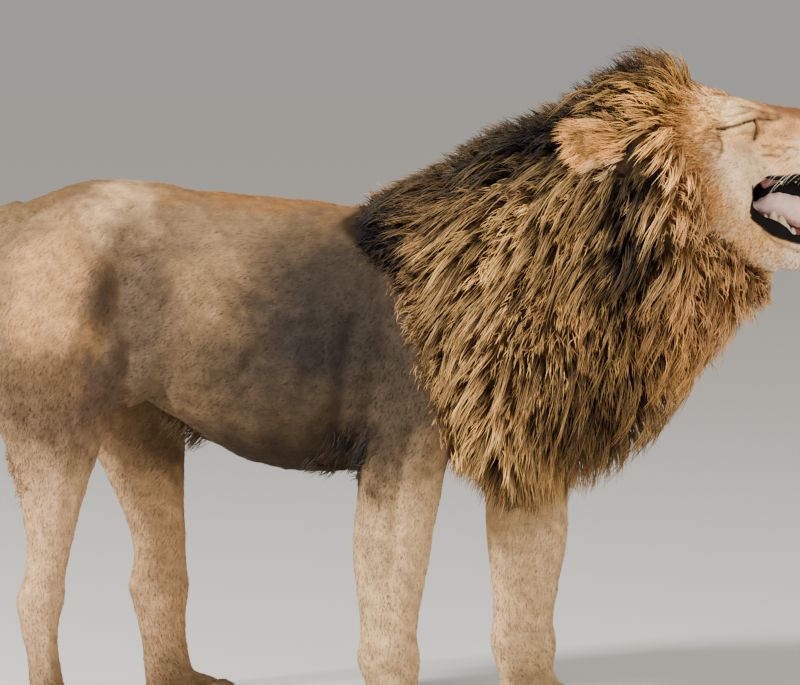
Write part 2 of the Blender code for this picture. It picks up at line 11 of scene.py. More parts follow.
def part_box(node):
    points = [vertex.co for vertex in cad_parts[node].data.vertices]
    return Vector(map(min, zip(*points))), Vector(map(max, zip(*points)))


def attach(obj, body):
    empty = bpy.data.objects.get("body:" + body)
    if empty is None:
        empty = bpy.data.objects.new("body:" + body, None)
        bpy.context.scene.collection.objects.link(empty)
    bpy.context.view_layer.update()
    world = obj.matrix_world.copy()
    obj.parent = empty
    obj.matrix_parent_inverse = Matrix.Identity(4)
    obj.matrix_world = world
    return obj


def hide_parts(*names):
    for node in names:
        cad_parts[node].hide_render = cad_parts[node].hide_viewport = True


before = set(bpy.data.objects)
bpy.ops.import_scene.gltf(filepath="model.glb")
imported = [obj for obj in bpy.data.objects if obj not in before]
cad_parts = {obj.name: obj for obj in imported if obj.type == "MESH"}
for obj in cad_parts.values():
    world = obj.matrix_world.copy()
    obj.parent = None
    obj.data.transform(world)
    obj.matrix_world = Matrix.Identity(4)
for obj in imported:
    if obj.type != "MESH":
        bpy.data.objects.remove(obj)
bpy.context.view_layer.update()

# ---------------------------------------------------------------- sizes, in metres

SKIN_UNDER_COAT = 0.007  # short flat hair on the trunk and legs
SKIN_UNDER_FACE = 0.003
SKIN_UNDER_MANE = 0.036  # how deep the locks lie over the mane's underwool
HANG = 0.075  # how much further the hair hangs below the chest
EYE = Vector((0.762, 0.076, 1.214))  # centre of the left eyeball
EYE_RADIUS = 0.0185
GAZE = 62  # how far each eye looks out to its own side, in degrees
EAR_BASE = Vector((0.560, 0.168, 1.150))  # the left ear's middle line
EAR_TIP = Vector((0.448, 0.232, 1.190))
NOSE_MIDDLE = (0.944, 0, 1.190)
NOSE_TIP = 0.965
BUTTOCK = -0.785
MANE_REACH = 0.290  # the few stray ends that reach out past it are drawn in by half

# how fine each skin is fused
BODY_VOXEL = 0.0073
HEAD_VOXEL = 0.0042
FEATURE_VOXEL = 0.0034
FACE_VOXEL = 0.0029
EAR_VOXEL = 0.0030
MOUTH_VOXEL = 0.0022
NOSE_VOXEL = 0.0018
NOSTRIL_VOXEL = 0.0012
UNWRAP_VOXEL = 0.016

# how many hairs each part of the coat has, and half their width
# Half widths of hair. A real hair is about 0.1 mm thick, so each one here stands for a small bundle.
MANE_GUIDES, MANE_HAIRS, MANE_WIDTHS = 3400, 27500, (0.0007, 0.0015)
COAT_HAIRS, FACE_HAIRS, RUFF_HAIRS, SHORT_WIDTH = 70000, 30000, 8000, 0.0008
FRINGE_HAIRS, EAR_HAIRS, FRINGE_WIDTH = 2000, 2000, 0.0009
TAIL_HAIRS, TAIL_WIDTH = 1600, 0.0011
OFBAKE_PATCH = 0.003  # the side of one hair's patch on the unwrap

low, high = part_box("eye_left")
FORWARD = (low.x + high.x) / 2 - EYE.x  # from the design's own zero to the frame's
random = np.random.default_rng(41)

Section = namedtuple("Section", "x top bottom level half")
LegSection = namedtuple("LegSection", "z back front side half")
Stroke = namedtuple("Stroke", "path width rise")  # a ridge, or a crease where rise is below zero
Leg = namedtuple("Leg", "sections strokes track heel front width toe step more swing planted hung")


# ---------------------------------------------------------------- tools


def deselect():
    bpy.ops.object.select_all(action="DESELECT")


def use(obj):
    deselect()
    obj.select_set(True)
    bpy.context.view_layer.objects.active = obj


def points_of(obj):
    flat = np.empty(len(obj.data.vertices) * 3, np.float32)
    obj.data.vertices.foreach_get("co", flat)
    return flat.reshape(-1, 3).astype(float)


def place_points(obj, points):
    obj.data.vertices.foreach_set("co", np.asarray(points, np.float32).ravel())
    obj.data.update()


def normals_of(obj):
    flat = np.empty(len(obj.data.vertices) * 3, np.float32)
    obj.data.vertices.foreach_get("normal", flat)
    return flat.reshape(-1, 3).astype(float)


def apply(obj, kind, **settings):
    """Adds a modifier to the object and applies it."""
    use(obj)
    modifier = obj.modifiers.new(kind, kind)
    for key, value in settings.items():
        setattr(modifier, key, value)
    bpy.ops.object.modifier_apply(modifier=modifier.name)


def smooth_rows(rows, steps):
    """The rows of a section table with more between each two, on a Catmull-Rom curve."""
    table = np.array(rows, float)
    padded = np.vstack([2 * table[0] - table[1], table, 2 * table[-1] - table[-2]])
    out = []
    for i in range(1, len(table)):
        p0, p1, p2, p3 = padded[i - 1 : i + 3]
        for t in np.arange(steps) / steps:
            bend = (2 * p0 - 5 * p1 + 4 * p2 - p3) * t * t + (3 * p1 - p0 - 3 * p2 + p3) * t**3
            out.append(0.5 * (2 * p1 + (p2 - p0) * t + bend))
    out.append(table[-1])
    return np.array(out)


def loft(name, rings):
    """A closed body through rings of points: a disc's face is extruded once for each ring."""
    rings = np.array(rings)
    count = rings.shape[1]
    deselect()
    bpy.ops.mesh.primitive_circle_add(vertices=count, fill_type="NGON")
    piece = bpy.context.object
    piece.name = name
    bpy.ops.object.mode_set(mode="EDIT")
    for _ in rings[1:]:
        bpy.ops.mesh.extrude_region_move(TRANSFORM_OT_translate={"value": (0, 0, 1)})
    bpy.ops.object.mode_set(mode="OBJECT")
    at = points_of(piece)
    row = np.rint(at[:, 2]).astype(int)
    turn = np.rint(np.arctan2(at[:, 1], at[:, 0]) * count / (2 * math.pi)).astype(int) % count
    place_points(piece, rings[row, turn])
    bpy.ops.object.mode_set(mode="EDIT")
    bpy.ops.mesh.select_all(action="SELECT")
    bpy.ops.mesh.normals_make_consistent(inside=False)
    bpy.ops.object.mode_set(mode="OBJECT")
    return piece


def power_wave(value, power):
    return np.sign(value) * np.abs(value) ** (2 / power)


def upright_loft(name, sections, depth, over=2.0, under=2.0, sides=28, steps=5):
    """A loft along X, set in by the depth of the coat. over and under square off its two halves:
    under is one power, or one for each section."""
    angle = 2 * math.pi * np.arange(sides) / sides
    upper = angle <= math.pi
    rows = smooth_rows(np.column_stack([sections, np.broadcast_to(under, len(sections))]), steps)
    rows[0, 0] += depth
    rows[-1, 0] -= depth
    rings = []
    for x, top, bottom, level, half, lower in rows:
        power = np.where(upper, over, lower)
        reach = np.where(upper, top - level, level - bottom) - depth
        y = max(half - depth, 0.004) * power_wave(np.cos(angle), power)
        z = level + np.maximum(reach, 0.004) * power_wave(np.sin(angle), power)
        rings.append(np.column_stack([np.full(sides, x), y, z]))
    return loft(name, rings)


def leg_loft(name, sections, depth, sides=20, steps=4):
    """A loft down a leg, through level sections that are a little square."""
    angle = 2 * math.pi * np.arange(sides) / sides
    rings = []
    for z, back, front, side, half in smooth_rows(sections, steps):
        x = (back + front) / 2 + ((front - back) / 2 - depth) * power_wave(np.cos(angle), 2.2)
        y = side + (half - depth) * power_wave(np.sin(angle), 2.2)
        rings.append(np.column_stack([x, y, np.full(sides, z)]))
    return loft(name, rings)


def ball(name, centre, radii, pitch=0.0, yaw=0.0, depth=0.0, segments=24):
    """An ellipsoid. pitch raises its front end and yaw turns that end to the left, in degrees."""
    deselect()
    bpy.ops.mesh.primitive_uv_sphere_add(segments=segments, ring_count=segments // 2, radius=1.0)
    made = bpy.context.object
    made.name = name
    turn = Matrix.Rotation(math.radians(yaw), 4, "Z") @ Matrix.Rotation(math.radians(-pitch), 4, "Y")
    size = Matrix.Diagonal((*(max(r - depth, 0.002) for r in radii), 1.0))
    made.data.transform(Matrix.Translation(centre) @ turn @ size)
    return made


def both_balls(name, centre, radii, pitch=0.0, yaw=0.0, depth=0.0):
    """The same ellipsoid on the left and on the right."""
    other = (centre[0], -centre[1], centre[2])
    return [
        ball(name, centre, radii, pitch, yaw, depth),
        ball(name, other, radii, pitch, -yaw, depth),
    ]


def join(name, pieces):
    deselect()
    for piece in pieces:
        piece.select_set(True)
    bpy.context.view_layer.objects.active = pieces[0]
    bpy.ops.object.join()
    pieces[0].name = name
    return pieces[0]


def fuse(name, pieces, voxel, rounding):
    """The pieces as one smooth skin: voxels join them, then rounding fills the creases."""
    whole = join(name, pieces)
    apply(whole, "REMESH", mode="VOXEL", voxel_size=voxel, use_smooth_shade=True)
    apply(whole, "SMOOTH", factor=0.5, iterations=rounding)
    return whole


def cut(obj, cutter):
    """Takes one shape out of another with a Boolean."""
    apply(obj, "BOOLEAN", operation="DIFFERENCE", object=cutter, solver="EXACT")
    bpy.data.objects.remove(cutter)


def ease(value, low, high):
    """0 below low, 1 above high, and a smooth step between."""
    t = np.clip((value - low) / (high - low), 0, 1)
    return t * t * (3 - 2 * t)


def folded(points):
    """The points with the right side laid over the left one, so that one path works on both."""
    out = points.copy()
    out[:, 1] = np.abs(out[:, 1])
    return out


def path_distance(points, path):
    """Each point's distance to a chain of points, and how far along the chain it is, 0 to 1."""
    path = np.array(path, float)
    best = np.full(len(points), 1e9)
    along = np.zeros(len(points))
    for i, (a, b) in enumerate(zip(path, path[1:])):
        step = b - a
        t = np.clip((points - a) @ step / (step @ step), 0, 1)
        gap = np.linalg.norm(points - a - t[:, None] * step, axis=1)
        near = gap < best
        best[near] = gap[near]
        along[near] = (i + t[near]) / (len(path) - 1)
    return best, along


def surface(obj):
    """The object's surface, for finding the nearest place on it."""
    return BVHTree.FromObject(obj, bpy.context.evaluated_depsgraph_get())


def settled(path, skin):
    """A path on the left side laid onto the skin, with points added so that it follows the surface."""
    fine = smooth_rows(path, 5)
    return [tuple(skin.find_nearest(point)[0]) for point in fine.tolist()]


def unit(vectors):
    return vectors / np.maximum(np.linalg.norm(vectors, axis=-1, keepdims=True), 1e-9)


def drift(points, size, seed, waves=7):
    """Smooth random values from about -1 to 1, changing over the given size."""
    pick = np.random.default_rng(seed)
    total = np.zeros(len(points))
    for _ in range(waves):
        way = unit(pick.normal(size=3)) / size * pick.uniform(0.7, 1.4)
        total += np.sin(2 * math.pi * points @ way + pick.uniform(0, 2 * math.pi))
    return total / math.sqrt(waves)


def drift_vector(points, size, seed):
    return np.column_stack([drift(points, size, seed + k) for k in range(3)])


def sculpt(obj, strokes, roughness, grain, seed, fold=True):
    """Raises ridges and presses creases into a skin along its strokes, and breaks its evenness a little.
    Each stroke is laid onto the skin first. With fold, strokes on the left side work on both."""
    points, normals, skin = points_of(obj), normals_of(obj), surface(obj)
    at = folded(points) if fold else points
    shift = roughness * drift(points, grain, seed) + 0.4 * roughness * drift(points, grain * 0.3, seed + 1)
    for stroke in strokes:
        gap, along = path_distance(at, settled(stroke.path, skin))
        fade = ease(along, 0.0, 0.15) * (1 - ease(along, 0.85, 1.0)) * 0.75 + 0.25
        shift = shift + stroke.rise * fade * np.exp(-((gap / stroke.width) ** 2))
    place_points(obj, points + shift[:, None] * normals)


# ---------------------------------------------------------------- the body's skin


def trunk_pieces():
    depth = SKIN_UNDER_COAT
    sections = [
        Section(BUTTOCK + 0.012, 0.960, 0.855, 0.905, 0.040),
        Section(-0.735, 1.022, 0.760, 0.900, 0.098),
        Section(-0.660, 1.064, 0.700, 0.895, 0.138),
        Section(-0.556, 1.097, 0.668, 0.880, 0.162),
        Section(-0.455, 1.096, 0.645, 0.850, 0.168),
        Section(-0.345, 1.080, 0.582, 0.810, 0.182),
        Section(-0.230, 1.070, 0.520, 0.775, 0.203),
        Section(-0.110, 1.059, 0.500, 0.765, 0.212),
        Section(-0.020, 1.050, 0.506, 0.775, 0.208),
        Section(0.080, 1.062, 0.520, 0.790, 0.192),
        Section(0.180, 1.080, 0.530, 0.800, 0.178),
        Section(0.280, 1.060, 0.560, 0.810, 0.155),
        Section(0.370, 1.000, 0.640, 0.830, 0.110),
    ]
    pieces = [upright_loft("trunk_skin", sections, depth, 2.15, 2.1)]
    pieces += both_balls("hip", (-0.510, 0.078, 0.998), (0.125, 0.074, 0.072), -8, 0, depth)
    pieces += both_balls("haunch", (-0.600, 0.125, 0.830), (0.150, 0.082, 0.180), 12, 0, depth)
    pieces += both_balls("flank", (-0.440, 0.112, 0.722), (0.118, 0.046, 0.076), 35, 0, depth)
    pieces += both_balls("shoulder", (0.150, 0.125, 0.860), (0.120, 0.085, 0.170), -10, 0, depth)
    pieces.append(ball("scrotum", (-0.745, 0.0, 0.745), (0.042, 0.044, 0.060), depth=depth))
    pieces.append(ball("sheath", (-0.340, 0.0, 0.612), (0.090, 0.036, 0.038), -34, depth=depth))
    return pieces


MANE_SECTIONS = [
    Section(0.004, 1.046, 0.950, 1.000, 0.150),
    Section(0.050, 1.074, 0.926, 0.996, 0.206),
    Section(0.092, 1.096, 0.880, 0.972, 0.232),
    Section(0.128, 1.114, 0.780, 0.920, 0.248),
    Section(0.158, 1.130, 0.650, 0.885, 0.258),
    Section(0.190, 1.150, 0.545, 0.870, 0.264),
    Section(0.230, 1.180, 0.468, 0.870, 0.266),
    Section(0.300, 1.212, 0.420, 0.880, 0.268),
    Section(0.390, 1.252, 0.440, 0.910, 0.270),
    Section(0.470, 1.302, 0.476, 0.950, 0.268),
    Section(0.545, 1.342, 0.526, 0.985, 0.262),
    Section(0.610, 1.342, 0.602, 1.015, 0.246),
    Section(0.660, 1.332, 0.672, 1.020, 0.214),
    Section(0.700, 1.290, 0.722, 1.000, 0.164),
    Section(0.738, 1.180, 0.768, 0.950, 0.116),
    Section(0.785, 0.975, 0.820, 0.900, 0.076),
    Section(0.824, 0.884, 0.856, 0.870, 0.036),
]  # the outer form of the mane, to the tips of its hair
MANE_OVER = 2.1
MANE_UNDER = [1.75 + 1.45 * (1 - ease(s.x, 0.24, 0.54)) for s in MANE_SECTIONS]  # full, then a keel ahead


def underwool():
    """The mane's body under its locks: neck, chest and crown, the long fringe hanging clear below it
    and its front edge drawn back round the brow."""
    inner = [s._replace(bottom=s.bottom + HANG * ease(s.level - s.bottom, 0.10, 0.30)) for s in MANE_SECTIONS]
    wool = upright_loft("underwool", inner, SKIN_UNDER_MANE, MANE_OVER, MANE_UNDER, 32)
    points = points_of(wool)
    points[:, 0] -= 0.055 * ease(points[:, 0], 0.56, 0.68) * ease(points[:, 2], 1.06, 1.18)
    place_points(wool, points)
    return wool


def reach_at(z, planted, hung):
    """How much of its leg's step forwards each height takes: all of it below planted, none above hung."""
    return 1 - ease(z, planted, hung)


def leg_sections(leg, left):
    """The sections of a right leg, or of the left one, which steps ahead below the height where it hangs."""
    placed = []
    for s in leg.sections:
        side = s.side - leg.track
        if left:
            share = reach_at(s.z, leg.planted, leg.hung)
            back, front = (edge + swing * share for edge, swing in zip((s.back, s.front), leg.swing))
            s, side = s._replace(back=back, front=front), -side
        placed.append(s._replace(side=side))
    return placed


def paw_pieces(heel, front, side, width, toe_length):
    """A foot's pad with four round toes."""
    length = front - heel
    depth = SKIN_UNDER_COAT * 0.6
    middle = (heel + 0.42 * length, side, 0.034)
    pieces = [ball("paw", middle, (0.46 * length, 0.44 * width, 0.046), depth=depth)]
    for k in range(4):
        across = (k - 1.5) / 1.5
        tip = front - toe_length * (0.55 + 0.20 * abs(across))
        place = (tip, side + across * 0.345 * width, 0.031)
        radius = 0.145 * width + 0.004
        pieces.append(ball("toe", place, (toe_length * 0.62, radius, 0.034), 0, 8 * across, depth))
    return pieces


FORELEG_SECTIONS = [
    LegSection(0.990, 0.090, 0.215, 0.050, 0.040),
    LegSection(0.900, 0.062, 0.270, 0.018, 0.078),
    LegSection(0.800, 0.054, 0.322, 0.006, 0.084),
    LegSection(0.700, 0.048, 0.318, 0.000, 0.082),
    LegSection(0.620, 0.034, 0.262, -0.006, 0.078),
    LegSection(0.550, 0.010, 0.206, -0.008, 0.073),
    LegSection(0.470, 0.006, 0.184, -0.006, 0.068),
    LegSection(0.360, -0.002, 0.166, -0.003, 0.062),
    LegSection(0.260, 0.008, 0.146, 0.000, 0.054),
    LegSection(0.200, 0.012, 0.138, 0.000, 0.051),
    LegSection(0.150, 0.006, 0.145, 0.000, 0.055),
    LegSection(0.100, 0.020, 0.139, 0.000, 0.051),
    LegSection(0.065, 0.026, 0.150, 0.000, 0.055),
    LegSection(0.030, 0.028, 0.158, 0.000, 0.058),
]  # side is out from the leg's track
HINDLEG_SECTIONS = [
    LegSection(1.020, -0.680, -0.500, 0.060, 0.040),
    LegSection(0.940, -0.745, -0.455, 0.024, 0.072),
    LegSection(0.860, BUTTOCK + 0.008, -0.438, 0.010, 0.086),
    LegSection(0.770, BUTTOCK, -0.440, 0.004, 0.088),
    LegSection(0.690, -0.772, -0.458, 0.000, 0.082),
    LegSection(0.620, -0.738, -0.486, -0.004, 0.074),
    LegSection(0.545, -0.706, -0.508, -0.003, 0.063),
    LegSection(0.460, -0.684, -0.540, 0.000, 0.052),
    LegSection(0.370, -0.670, -0.563, 0.000, 0.044),
    LegSection(0.300, -0.674, -0.577, 0.000, 0.042),
    LegSection(0.255, -0.692, -0.580, 0.000, 0.043),
    LegSection(0.200, -0.684, -0.592, 0.000, 0.040),
    LegSection(0.120, -0.668, -0.590, 0.000, 0.040),
    LegSection(0.030, -0.660, -0.570, 0.000, 0.044),
]
FORELEG_STROKES = [
    Stroke(
        [(0.150, 0.230, 0.640), (0.120, 0.220, 0.560), (0.100, 0.215, 0.440), (0.085, 0.200, 0.280)],
        0.013,
        -0.006,
    ),
    Stroke([(0.045, 0.215, 0.560), (0.040, 0.205, 0.420), (0.040, 0.195, 0.300)], 0.016, 0.005),
    Stroke([(0.000, 0.150, 0.560), (-0.012, 0.150, 0.530)], 0.022, 0.010),
    Stroke([(0.060, 0.195, 0.150), (0.110, 0.195, 0.150)], 0.014, 0.004),
]  # between the forearm's muscles, the elbow's point and the wrist
HINDLEG_STROKES = [
    Stroke([(-0.650, 0.165, 0.500), (-0.648, 0.165, 0.400), (-0.655, 0.160, 0.300)], 0.012, -0.009),
    Stroke([(-0.560, 0.190, 0.600), (-0.580, 0.185, 0.500), (-0.600, 0.170, 0.380)], 0.016, 0.005),
    Stroke([(-0.625, 0.172, 0.255), (-0.600, 0.170, 0.245)], 0.016, 0.004),
    Stroke([(-0.630, 0.165, 0.200), (-0.630, 0.165, 0.090)], 0.010, -0.004),
]  # ahead of the heel's tendon, down the shin, and at the ankle

FORE = Leg(
    FORELEG_SECTIONS,
    FORELEG_STROKES,
    track=0.142,
    heel=0.018,
    front=0.208,
    width=0.142,
    toe=0.062,
    step=0.222,
    more=0.008,
    swing=(0.222, 0.232),
    planted=0.36,
    hung=1.00,
)
HIND = Leg(
    HINDLEG_SECTIONS,
    HINDLEG_STROKES,
    track=0.132,
    heel=-0.664,
    front=-0.490,
    width=0.122,
    toe=0.056,
    step=0.205,
    more=0.0,
    swing=(0.175, 0.205),
    planted=0.16,
    hung=1.02,
)


def foot_of(leg, left):
    """(heel, front, side) of one foot: the left one of each pair stands a step ahead."""
    if not left:
        return leg.heel, leg.front, -leg.track
    return leg.heel + leg.step, leg.front + leg.step + leg.more, leg.track


def leg_pieces(leg, left):
    pieces = [leg_loft("leg", leg_sections(leg, left), SKIN_UNDER_COAT)]
    return pieces + paw_pieces(*foot_of(leg, left), leg.width, leg.toe)


def tail_piece():
    """The tail down to the bare tip inside its tuft."""
    rows = smooth_rows(
        [
            (-0.700, 1.000, 0.052),
            (-0.775, 0.980, 0.042),
            (-0.835, 0.905, 0.032),
            (-0.862, 0.780, 0.026),
            (-0.868, 0.620, 0.023),
            (-0.866, 0.470, 0.021),
            (-0.872, 0.380, 0.019),
            (-0.888, 0.310, 0.017),
            (-0.903, 0.250, 0.015),
        ],
        6,
    )
    middle = rows[:, :2]
    along = np.gradient(middle, axis=0)
    along /= np.linalg.norm(along, axis=1)[:, None]
    angle = 2 * math.pi * np.arange(16) / 16
    rings = []
    for (x, z, radius), (run, drop) in zip(rows, along):
        r = radius - 0.5 * SKIN_UNDER_COAT
        out = r * np.cos(angle)
        rings.append(np.column_stack([x - out * drop, r * np.sin(angle), z + out * run]))
    return loft("tail_skin", rings)


BODY_STROKES = [
    Stroke(
        [(-0.476, 0.19, 0.988), (-0.504, 0.19, 0.901), (-0.546, 0.19, 0.800), (-0.590, 0.19, 0.704)],
        0.022,
        0.006,
    ),
    Stroke(
        [(-0.425, 0.19, 0.970), (-0.450, 0.19, 0.890), (-0.480, 0.19, 0.790), (-0.510, 0.18, 0.700)],
        0.028,
        -0.009,
    ),
    Stroke([(-0.470, 0.13, 0.620), (-0.415, 0.17, 0.680), (-0.385, 0.18, 0.770)], 0.020, 0.006),
    Stroke([(0.030, 0.21, 0.850), (0.000, 0.21, 0.740), (-0.012, 0.20, 0.600)], 0.020, -0.009),
    Stroke([(0.000, 0.0, 1.050), (-0.300, 0.0, 1.075), (-0.600, 0.0, 1.100)], 0.014, -0.004),
    Stroke([(-0.480, 0.100, 1.060), (-0.450, 0.115, 1.040)], 0.030, 0.008),
    Stroke([(-0.620, 0.050, 1.090), (-0.680, 0.085, 1.030), (-0.700, 0.110, 0.940)], 0.016, -0.007),
    Stroke([(-0.710, 0.100, 0.930), (-0.735, 0.110, 0.820), (-0.715, 0.115, 0.700)], 0.020, -0.006),
    Stroke([(-0.700, 0.165, 0.880), (-0.700, 0.175, 0.780), (-0.670, 0.175, 0.660)], 0.028, 0.006),
]  # over the hip, thigh, flank, ribs and spine

def rib_strokes():
    """Five ribs that show faintly, each slanting back as it goes down."""
    made = []
    for x in (-0.310, -0.250, -0.190, -0.130, -0.070):
        path = [(x, 0.20, 0.930), (x - 0.020, 0.21, 0.790), (x - 0.036, 0.20, 0.650)]
        made.append(Stroke(path, 0.012, 0.0028))
    return made


def wrinkles(count):
    """Small slanting folds in the loose skin of the flank."""
    made = []
    for _ in range(count):
        x, z = random.uniform(-0.42, -0.16), random.uniform(0.66, 0.90)
        run, rise = random.uniform(0.020, 0.045), random.uniform(0.020, 0.050)
        path = [(x - run, 0.2, z - rise), (x, 0.2, z), (x + 0.8 * run, 0.2, z + 1.2 * rise)]
        made.append(Stroke(path, random.uniform(0.008, 0.012), random.uniform(-0.0042, -0.0022)))
    return made


def leg_strokes(leg, left):
    """The strokes of one leg on its own side, carried forwards with the left one."""
    side = 1 if left else -1
    moved = []
    for stroke in leg.strokes:
        steps = [left * leg.step * reach_at(z, leg.planted, leg.hung) for _, _, z in stroke.path]
        path = [(x + step, side * y, z) for (x, y, z), step in zip(stroke.path, steps)]
        moved.append(stroke._replace(path=path))
    return moved


def make_body_skin():
    pieces = trunk_pieces() + [underwool(), tail_piece()]
    strokes = []
    for left in (False, True):
        for leg in (FORE, HIND):
            pieces += leg_pieces(leg, left)
            strokes += leg_strokes(leg, left)
    skin = fuse("body_skin", pieces, BODY_VOXEL, 8)
    sculpt(skin, BODY_STROKES + rib_strokes() + wrinkles(18), 0.0012, 0.09, 51)
    sculpt(skin, strokes, 0.0, 0.1, 53, fold=False)
    points = points_of(skin)
    points[:, 2] = np.maximum(points[:, 2], 0.0005)
    place_points(skin, points)
    return skin


# ---------------------------------------------------------------- the head's skin


def head_mass():
    """The broad forms of the head, fused and rounded until they run into each other."""
    skull = [
        Section(0.440, 1.205, 1.060, 1.140, 0.080),
        Section(0.540, 1.258, 1.020, 1.140, 0.116),
        Section(0.630, 1.280, 1.000, 1.130, 0.134),
        Section(0.700, 1.274, 1.000, 1.120, 0.132),
        Section(0.755, 1.262, 1.035, 1.135, 0.108),
        Section(0.800, 1.252, 1.084, 1.158, 0.084),
        Section(0.850, 1.240, 1.098, 1.160, 0.070),
        Section(0.900, 1.226, 1.100, 1.154, 0.064),
        Section(0.938, 1.210, 1.104, 1.150, 0.052),
        Section(NOSE_TIP - 0.004, 1.184, 1.120, 1.156, 0.030),
    ]
    jaw = [
        Section(0.610, 1.080, 0.960, 1.020, 0.098),
        Section(0.680, 1.070, 0.930, 1.000, 0.094),
        Section(0.745, 1.060, 0.918, 0.990, 0.082),
        Section(0.795, 1.036, 0.914, 0.978, 0.066),
        Section(0.840, 1.006, 0.916, 0.966, 0.057),
        Section(0.885, 0.986, 0.920, 0.956, 0.050),
        Section(0.917, 0.978, 0.926, 0.954, 0.040),
        Section(0.934, 0.968, 0.940, 0.954, 0.022),
    ]
    pieces = [upright_loft("skull", skull, SKIN_UNDER_FACE, 2.3, 2.5, 40, 7)]
    pieces.append(upright_loft("jaw", jaw, SKIN_UNDER_FACE, 3.0, 2.3, 40, 7))
    pieces += both_balls("cheekbone", (0.705, 0.100, 1.150), (0.085, 0.038, 0.046), -6, -20)
    pieces += both_balls("cheek", (0.705, 0.082, 1.075), (0.088, 0.046, 0.090), -24)
    pieces += both_balls("jowl", (0.745, 0.060, 1.005), (0.075, 0.030, 0.058), -14)
    return fuse("head_skin", pieces, HEAD_VOXEL, 26)


def face_details():
    """Forms that keep an edge: brows, lids, bridge of the nose, whisker pads and lips."""
    pieces = both_balls("brow", (0.748, 0.062, 1.232), (0.058, 0.036, 0.021), -10, -14)
    pieces += both_balls("lids", (0.764, 0.075, 1.208), (0.038, 0.023, 0.021), 10, -20)
    pieces += both_balls("whisker_pad", (0.904, 0.036, 1.140), (0.056, 0.037, 0.038), 2, -8)
    pieces += both_balls("upper_lip", (0.862, 0.053, 1.117), (0.070, 0.016, 0.021), 0, -9)
    pieces += both_balls("lower_lip", (0.884, 0.042, 0.974), (0.044, 0.013, 0.019), -14, -16)
    pieces += both_balls("lip_corner", (0.832, 0.053, 0.998), (0.046, 0.012, 0.020), -34, -8)
    pieces.append(ball("bridge", (0.872, 0.0, 1.211), (0.088, 0.036, 0.026), -13))
    pieces.append(ball("chin", (0.905, 0.0, 0.950), (0.032, 0.036, 0.026)))
    return pieces


SOFT_PALATE = ((0.838, 0.0, 1.082), (0.058, 0.027, 0.046), 4)  # it hangs down to the root of the tongue
MOUTH_HOLLOWS = [
    ((0.868, 0.0, 1.088), (0.078, 0.050, 0.034), 6),  # under the palate
    ((0.800, 0.0, 1.052), (0.060, 0.052, 0.048), -8),  # throat
    ((0.850, 0.0, 1.010), (0.084, 0.042, 0.036), -16),  # over the lower jaw
]
EYE_SLIT = [(0.718, 0.104, 1.199), (0.743, 0.100, 1.202), (0.766, 0.092, 1.210), (0.786, 0.078, 1.216)]
EYE_CORNER = [(0.788, 0.078, 1.218), (0.794, 0.074, 1.200), (0.788, 0.078, 1.176)]
TEAR_LINE = [(0.788, 0.076, 1.216), (0.808, 0.064, 1.226), (0.838, 0.052, 1.226)]
CHEEK_LINE = [(0.722, 0.112, 1.190), (0.727, 0.110, 1.165), (0.716, 0.114, 1.142)]
PAD_FOLDS = [
    [(0.806, 0.078, 1.168), (0.836, 0.073, 1.160), (0.872, 0.069, 1.161)],
    [(0.806, 0.078, 1.149), (0.832, 0.074, 1.143), (0.858, 0.072, 1.143)],
]
UPPER_LIP = [
    (0.797, 0.081, 1.046),
    (0.803, 0.078, 1.070),
    (0.822, 0.072, 1.095),
    (0.855, 0.068, 1.104),
    (0.900, 0.062, 1.104),
    (0.936, 0.046, 1.108),
    (0.955, 0.020, 1.114),
    (0.957, 0.000, 1.120),
]
LOWER_LIP = [
    (0.797, 0.081, 1.046),
    (0.804, 0.071, 1.022),
    (0.826, 0.057, 1.002),
    (0.850, 0.054, 0.990),
    (0.885, 0.048, 0.980),
    (0.915, 0.036, 0.975),
    (0.930, 0.016, 0.974),
    (0.932, 0.000, 0.974),
]


def raised(path, up, out=0.0):
    return [(x, y + out, z + up) for x, y, z in path]


FACE_STROKES = [
    Stroke(raised(EYE_SLIT, 0.011), 0.006, 0.0028),
    Stroke(raised(EYE_SLIT, -0.010), 0.006, 0.0024),
    Stroke(raised(EYE_SLIT, 0.020), 0.0035, -0.0030),
    Stroke(raised(EYE_SLIT, -0.019), 0.0035, -0.0024),
    Stroke(EYE_SLIT, 0.0038, -0.0042),
    Stroke(EYE_CORNER, 0.0050, -0.0055),
    Stroke(TEAR_LINE, 0.0050, -0.0040),
    Stroke(CHEEK_LINE, 0.0050, -0.0036),
    Stroke([(0.850, 0.052, 1.205), (0.895, 0.048, 1.192), (0.930, 0.043, 1.182)], 0.008, -0.0040),
    Stroke([(0.820, 0.074, 1.188), (0.860, 0.068, 1.178), (0.905, 0.062, 1.182)], 0.005, -0.0032),
    Stroke(PAD_FOLDS[0], 0.0045, -0.0042),
    Stroke(PAD_FOLDS[1], 0.0045, -0.0042),
    Stroke([(0.790, 0.082, 1.140), (0.785, 0.084, 1.100), (0.782, 0.080, 1.060)], 0.010, -0.0040),
    Stroke([(0.962, 0.0, 1.180), (0.962, 0.0, 1.150), (0.955, 0.0, 1.112)], 0.0035, -0.0070),
    Stroke([(0.800, 0.0, 1.262), (0.760, 0.0, 1.274), (0.710, 0.0, 1.288)], 0.012, -0.0035),
    Stroke(raised(UPPER_LIP, 0.006, 0.002), 0.005, 0.0022),
    Stroke(raised(UPPER_LIP[1:], 0.016, 0.002), 0.004, -0.0018),
    Stroke(raised(LOWER_LIP, -0.006, 0.002), 0.005, 0.0024),
    Stroke(raised(LOWER_LIP[2:], -0.016, 0.002), 0.004, -0.0020),
]


